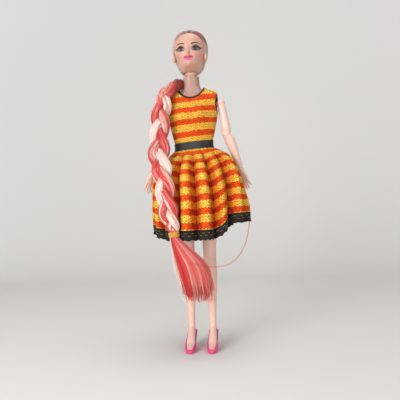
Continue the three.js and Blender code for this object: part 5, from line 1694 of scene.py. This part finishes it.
def make_hem(side):
    """Black ribbon along the hem with a frilled edge, two rows of gold flecks and a line of stitches."""
    part = half_of_skirt(side)
    a = skirt_columns()[part]
    top, share = 1 + GAP / SKIRT_LENGTH, HEM_DEPTH / SKIRT_LENGTH
    rows = 9
    downs = top + share * np.linspace(0, 0.86, rows)
    outer = [skirt_row(d, CLOTH + 0.15, a) for d in downs]
    inner = [skirt_row(d, 0.5, a) for d in downs]
    lengths = [np.full(len(a), HEM_DEPTH * k / (rows - 1)) for k in range(rows)]
    ribbon = cloth(outer, inner, FLAT_RADIUS * a, lengths)
    stands_for = ["hem_trim"] * (side == "left")
    follow_leg(piece(f"hem_ribbon_{side}", ribbon, BINDING, None, stands_for, "black_trim", sharp=60))
    frill = []
    for k in np.linspace(0, 1, 7):
        row = skirt_row(top + share * (0.72 + 0.34 * k), CLOTH + 0.1 + 0.5 * k, a)
        row[:, 2] -= 0.9 * k * (0.5 + 0.5 * np.sin(60 * a + 3 * np.sin(5 * a)))
        out = 0.5 * k * np.sin(47 * a + 2)
        row[:, 0] += out * np.cos(a)
        row[:, 1] += out * np.sin(a)
        frill.append(row)
    inner = [row - 0.4 * np.column_stack([np.cos(a), np.sin(a), 0 * a]) for row in frill]
    lace = cloth(frill, inner, FLAT_RADIUS * a, [np.full(len(a), 3.0 * k / 6) for k in range(7)])
    follow_leg(piece(f"hem_lace_{side}", lace, LACE, None, slot="black_trim", sharp=60))
    flecks, per_row = [], 30
    for level, shift in ((0.32, 0.25), (0.6, 0.75)):
        for k in range(per_row):
            angle = a[0] + np.pi * (k + shift) / per_row
            flecks.append(skirt_row(top + share * level, CLOTH + 0.2, angle + np.linspace(-0.012, 0.012, 3)))
    size = {"Step": 0.0009, "Bead radius": 0.00028, "Bead length": 1.2}
    follow_leg(grown(f"gold_hem_flecks_{side}", BEADS, flecks, size, GOLD, None))
    seam = [skirt_row(top + share * 0.06, CLOTH + 0.2, np.linspace(a[0], a[-1], 350))]
    size = {"Step": 0.0016, "Bead radius": 0.00018, "Bead length": 3.2}
    follow_leg(grown(f"hem_stitching_{side}", BEADS, seam, size, BINDING, None))


def make_dress():
    make_bodice()
    for side in ("right", "left"):
        make_hem(side)
        make_skirt(side)


# Loose fibres that stand off the combed locks.


STRAND_FIBRES, TAIL_FIBRES = 46, 150


def make_fibres():
    rng = np.random.default_rng(5)
    cream, red = [], []
    for phase, home in ((0, cream), (1, red), (2, red)):
        for _ in range(STRAND_FIBRES):
            start, span = rng.uniform(0, 0.86), rng.uniform(0.1, 0.3)
            angle, spin = rng.uniform(0, 2 * np.pi), rng.normal(0, 0.5)
            lift = rng.uniform(1.01, 1.09)
            path = []
            for s in np.linspace(start, min(1, start + span), 26):
                side, out, size = braid_frame(s)
                ahead = strand_middle(min(1, s + 0.004), phase) - strand_middle(max(0, s - 0.004), phase)
                ahead = unit(ahead)
                wide = unit(np.cross(ahead, out))
                tall = np.cross(wide, ahead)
                b = angle + spin * (s - start) / span
                off = wide * math.cos(b) + 0.8 * tall * math.sin(b)
                path.append(strand_middle(s, phase) + lift * STRAND * size * off)
            home.append(path)
    for _ in range(TAIL_FIBRES):
        side, deep = rng.uniform(-1, 1), rng.uniform(-1, 1)
        stray = rng.normal(0, 0.12)
        reach = np.linspace(0.02, rng.uniform(0.8, 1.0), 24)
        path = [tail_point(s, side + stray * s * s, deep) for s in reach]
        (cream if side < -0.75 else red).append(path)
    cream_fibre = doll_hair("cream_nylon_fibre", [(0.0, "#f4e2d8"), (1.0, "#e2bfb0")], 1.0)
    red_fibre = doll_hair("red_nylon_fibre", [(0.0, "#d8474a"), (1.0, "#b52a2c")], 1.0)
    size = {"Fibre radius": 0.00011, "Section sides": 4}
    wisp = [(-1.5, -47, 84), (8, -46, 81), (18, -43, 79.5), (30, -36, 81), (40, -26, 90), (46, -14, 106)]
    wisp = curve_through(wisp + [(48, -6, 130)], 60)
    thick = {"Fibre radius": 0.00016, "Section sides": 5}
    pair = [wisp, wisp + [0.4, -0.3, -0.5]]
    drape(grown("stray_hair_wisp", FIBRES, pair, thick, red_fibre, None))
    drape(grown("cream_loose_fibres", FIBRES, cream, size, cream_fibre, None))
    drape(grown("red_loose_fibres", FIBRES, red, size, red_fibre, None))


# Floor, backdrop and lights.


BACKGROUND = "#dfdddb"


def seen_directly(tree):
    """1 for what the camera sees by itself or in a shine: there stage and air show one pale colour."""
    rays = add(tree, "ShaderNodeLightPath").outputs
    seen = add(tree, "ShaderNodeMath", (rays["Is Camera Ray"], rays["Is Glossy Ray"]), operation="ADD")
    return add(tree, "ShaderNodeMath", (seen, rays["Is Transmission Ray"]), operation="ADD", use_clamp=True)


FLOOR_REACH, BEND_START, BEND_RADIUS, WALL_HEIGHT = 3000, 400, 300, 900
LAMP_AIM_Z = 150


def make_stage():
    """A paper sweep: a floor that bends up into a wall behind the doll."""
    rows = []
    for t in np.linspace(0, 1, 40):
        if t < 0.5:
            rows.append((BEND_START - FLOOR_REACH * (1 - 2 * t) ** 2, 0.0))
        else:
            angle = min(1.0, (t - 0.5) / 0.3) * math.pi / 2
            rise = BEND_RADIUS * (1 - math.cos(angle)) + max(0.0, t - 0.8) / 0.2 * WALL_HEIGHT
            rows.append((BEND_START + BEND_RADIUS * math.sin(angle), rise))
    edges = (-FLOOR_REACH, FLOOR_REACH)
    points = [in_frame(x, y, z) for y, z in rows for x in edges]
    faces = [[2 * i, 2 * i + 1, 2 * i + 3, 2 * i + 2] for i in range(len(rows) - 1)]
    mesh = bpy.data.meshes.new("sweep")
    mesh.from_pydata(points, [], faces)
    mesh.shade_smooth()
    material, tree = start_finish("pale_paper_sweep")
    place = add(tree, "ShaderNodeTexCoord").outputs["Object"]
    cloud = add(tree, "ShaderNodeTexNoise", {"Vector": place, "Scale": 3}).outputs["Fac"]
    tones = {0: cloud, 6: paint("#e4e2df"), 7: paint("#dddbd8")}
    colour = add(tree, "ShaderNodeMix", tones, data_type="RGBA").outputs[2]
    paper = add(tree, "ShaderNodeBsdfPrincipled", {"Base Color": colour, "Roughness": 0.9})
    away = add(tree, "ShaderNodeVectorMath", {0: place}, operation="LENGTH").outputs["Value"]
    span = {"Value": away, "From Min": 0.45, "From Max": 1.1}
    far = add(tree, "ShaderNodeMapRange", span, interpolation_type="SMOOTHSTEP").outputs["Result"]
    share = add(tree, "ShaderNodeMath", (far, seen_directly(tree)), operation="MULTIPLY")
    pale = add(tree, "ShaderNodeEmission", {"Color": paint(BACKGROUND), "Strength": 1.0})
    both = add(tree, "ShaderNodeMixShader", {0: share, 1: paper.outputs[0], 2: pale.outputs[0]})
    add(tree, "ShaderNodeOutputMaterial", {"Surface": both.outputs[0]})
    mesh.materials.append(material)
    placed("paper_sweep", mesh)


def make_lamp(name, place, size, power):
    data = bpy.data.lights.new(name, "AREA")
    data.shape = "RECTANGLE"
    data.size, data.size_y = size[0] * MM, size[1] * MM
    data.energy = power
    lamp = placed(name, data)
    at = in_frame(*place)
    lamp.location = at
    lamp.rotation_euler = (in_frame(0, 0, LAMP_AIM_Z) - at).to_track_quat("-Z", "Y").to_euler()


def make_light():
    make_lamp("key", (-400, -740, 320), (420, 420), 5.9)
    make_lamp("fill", (340, -800, 150), (420, 420), 2.6)
    make_lamp("top", (60, -60, 900), (500, 400), 2.0)
    make_lamp("back", (260, 860, 420), (500, 500), 3.2)
    world = bpy.data.worlds.new("studio")
    bpy.context.scene.world = world
    world.use_nodes = True
    tree = world.node_tree
    tree.nodes.clear()
    light = add(tree, "ShaderNodeBackground", {"Color": (1, 1, 1, 1), "Strength": 0.42})
    pale = add(tree, "ShaderNodeBackground", {"Color": paint(BACKGROUND), "Strength": 1.0})
    air = add(tree, "ShaderNodeMixShader", {0: seen_directly(tree), 1: light.outputs[0], 2: pale.outputs[0]})
    add(tree, "ShaderNodeOutputWorld", {"Surface": air.outputs[0]})
    bpy.context.scene.view_settings.view_transform = "Standard"


make_stage()
make_light()
make_trunk()
make_face(make_head())
make_scalp_hair()
make_ponytail()
make_braid()
make_tie()
make_tail()
make_arms()
make_legs()
make_dress()
make_fibres()
# The neck knob is the one solid that shows as it is.
# The head's darker vinyl finish on it is painted shade under the chin.
frame["nodes"]["neck_knob"].data.materials.clear()
frame["nodes"]["neck_knob"].data.materials.append(VINYL)
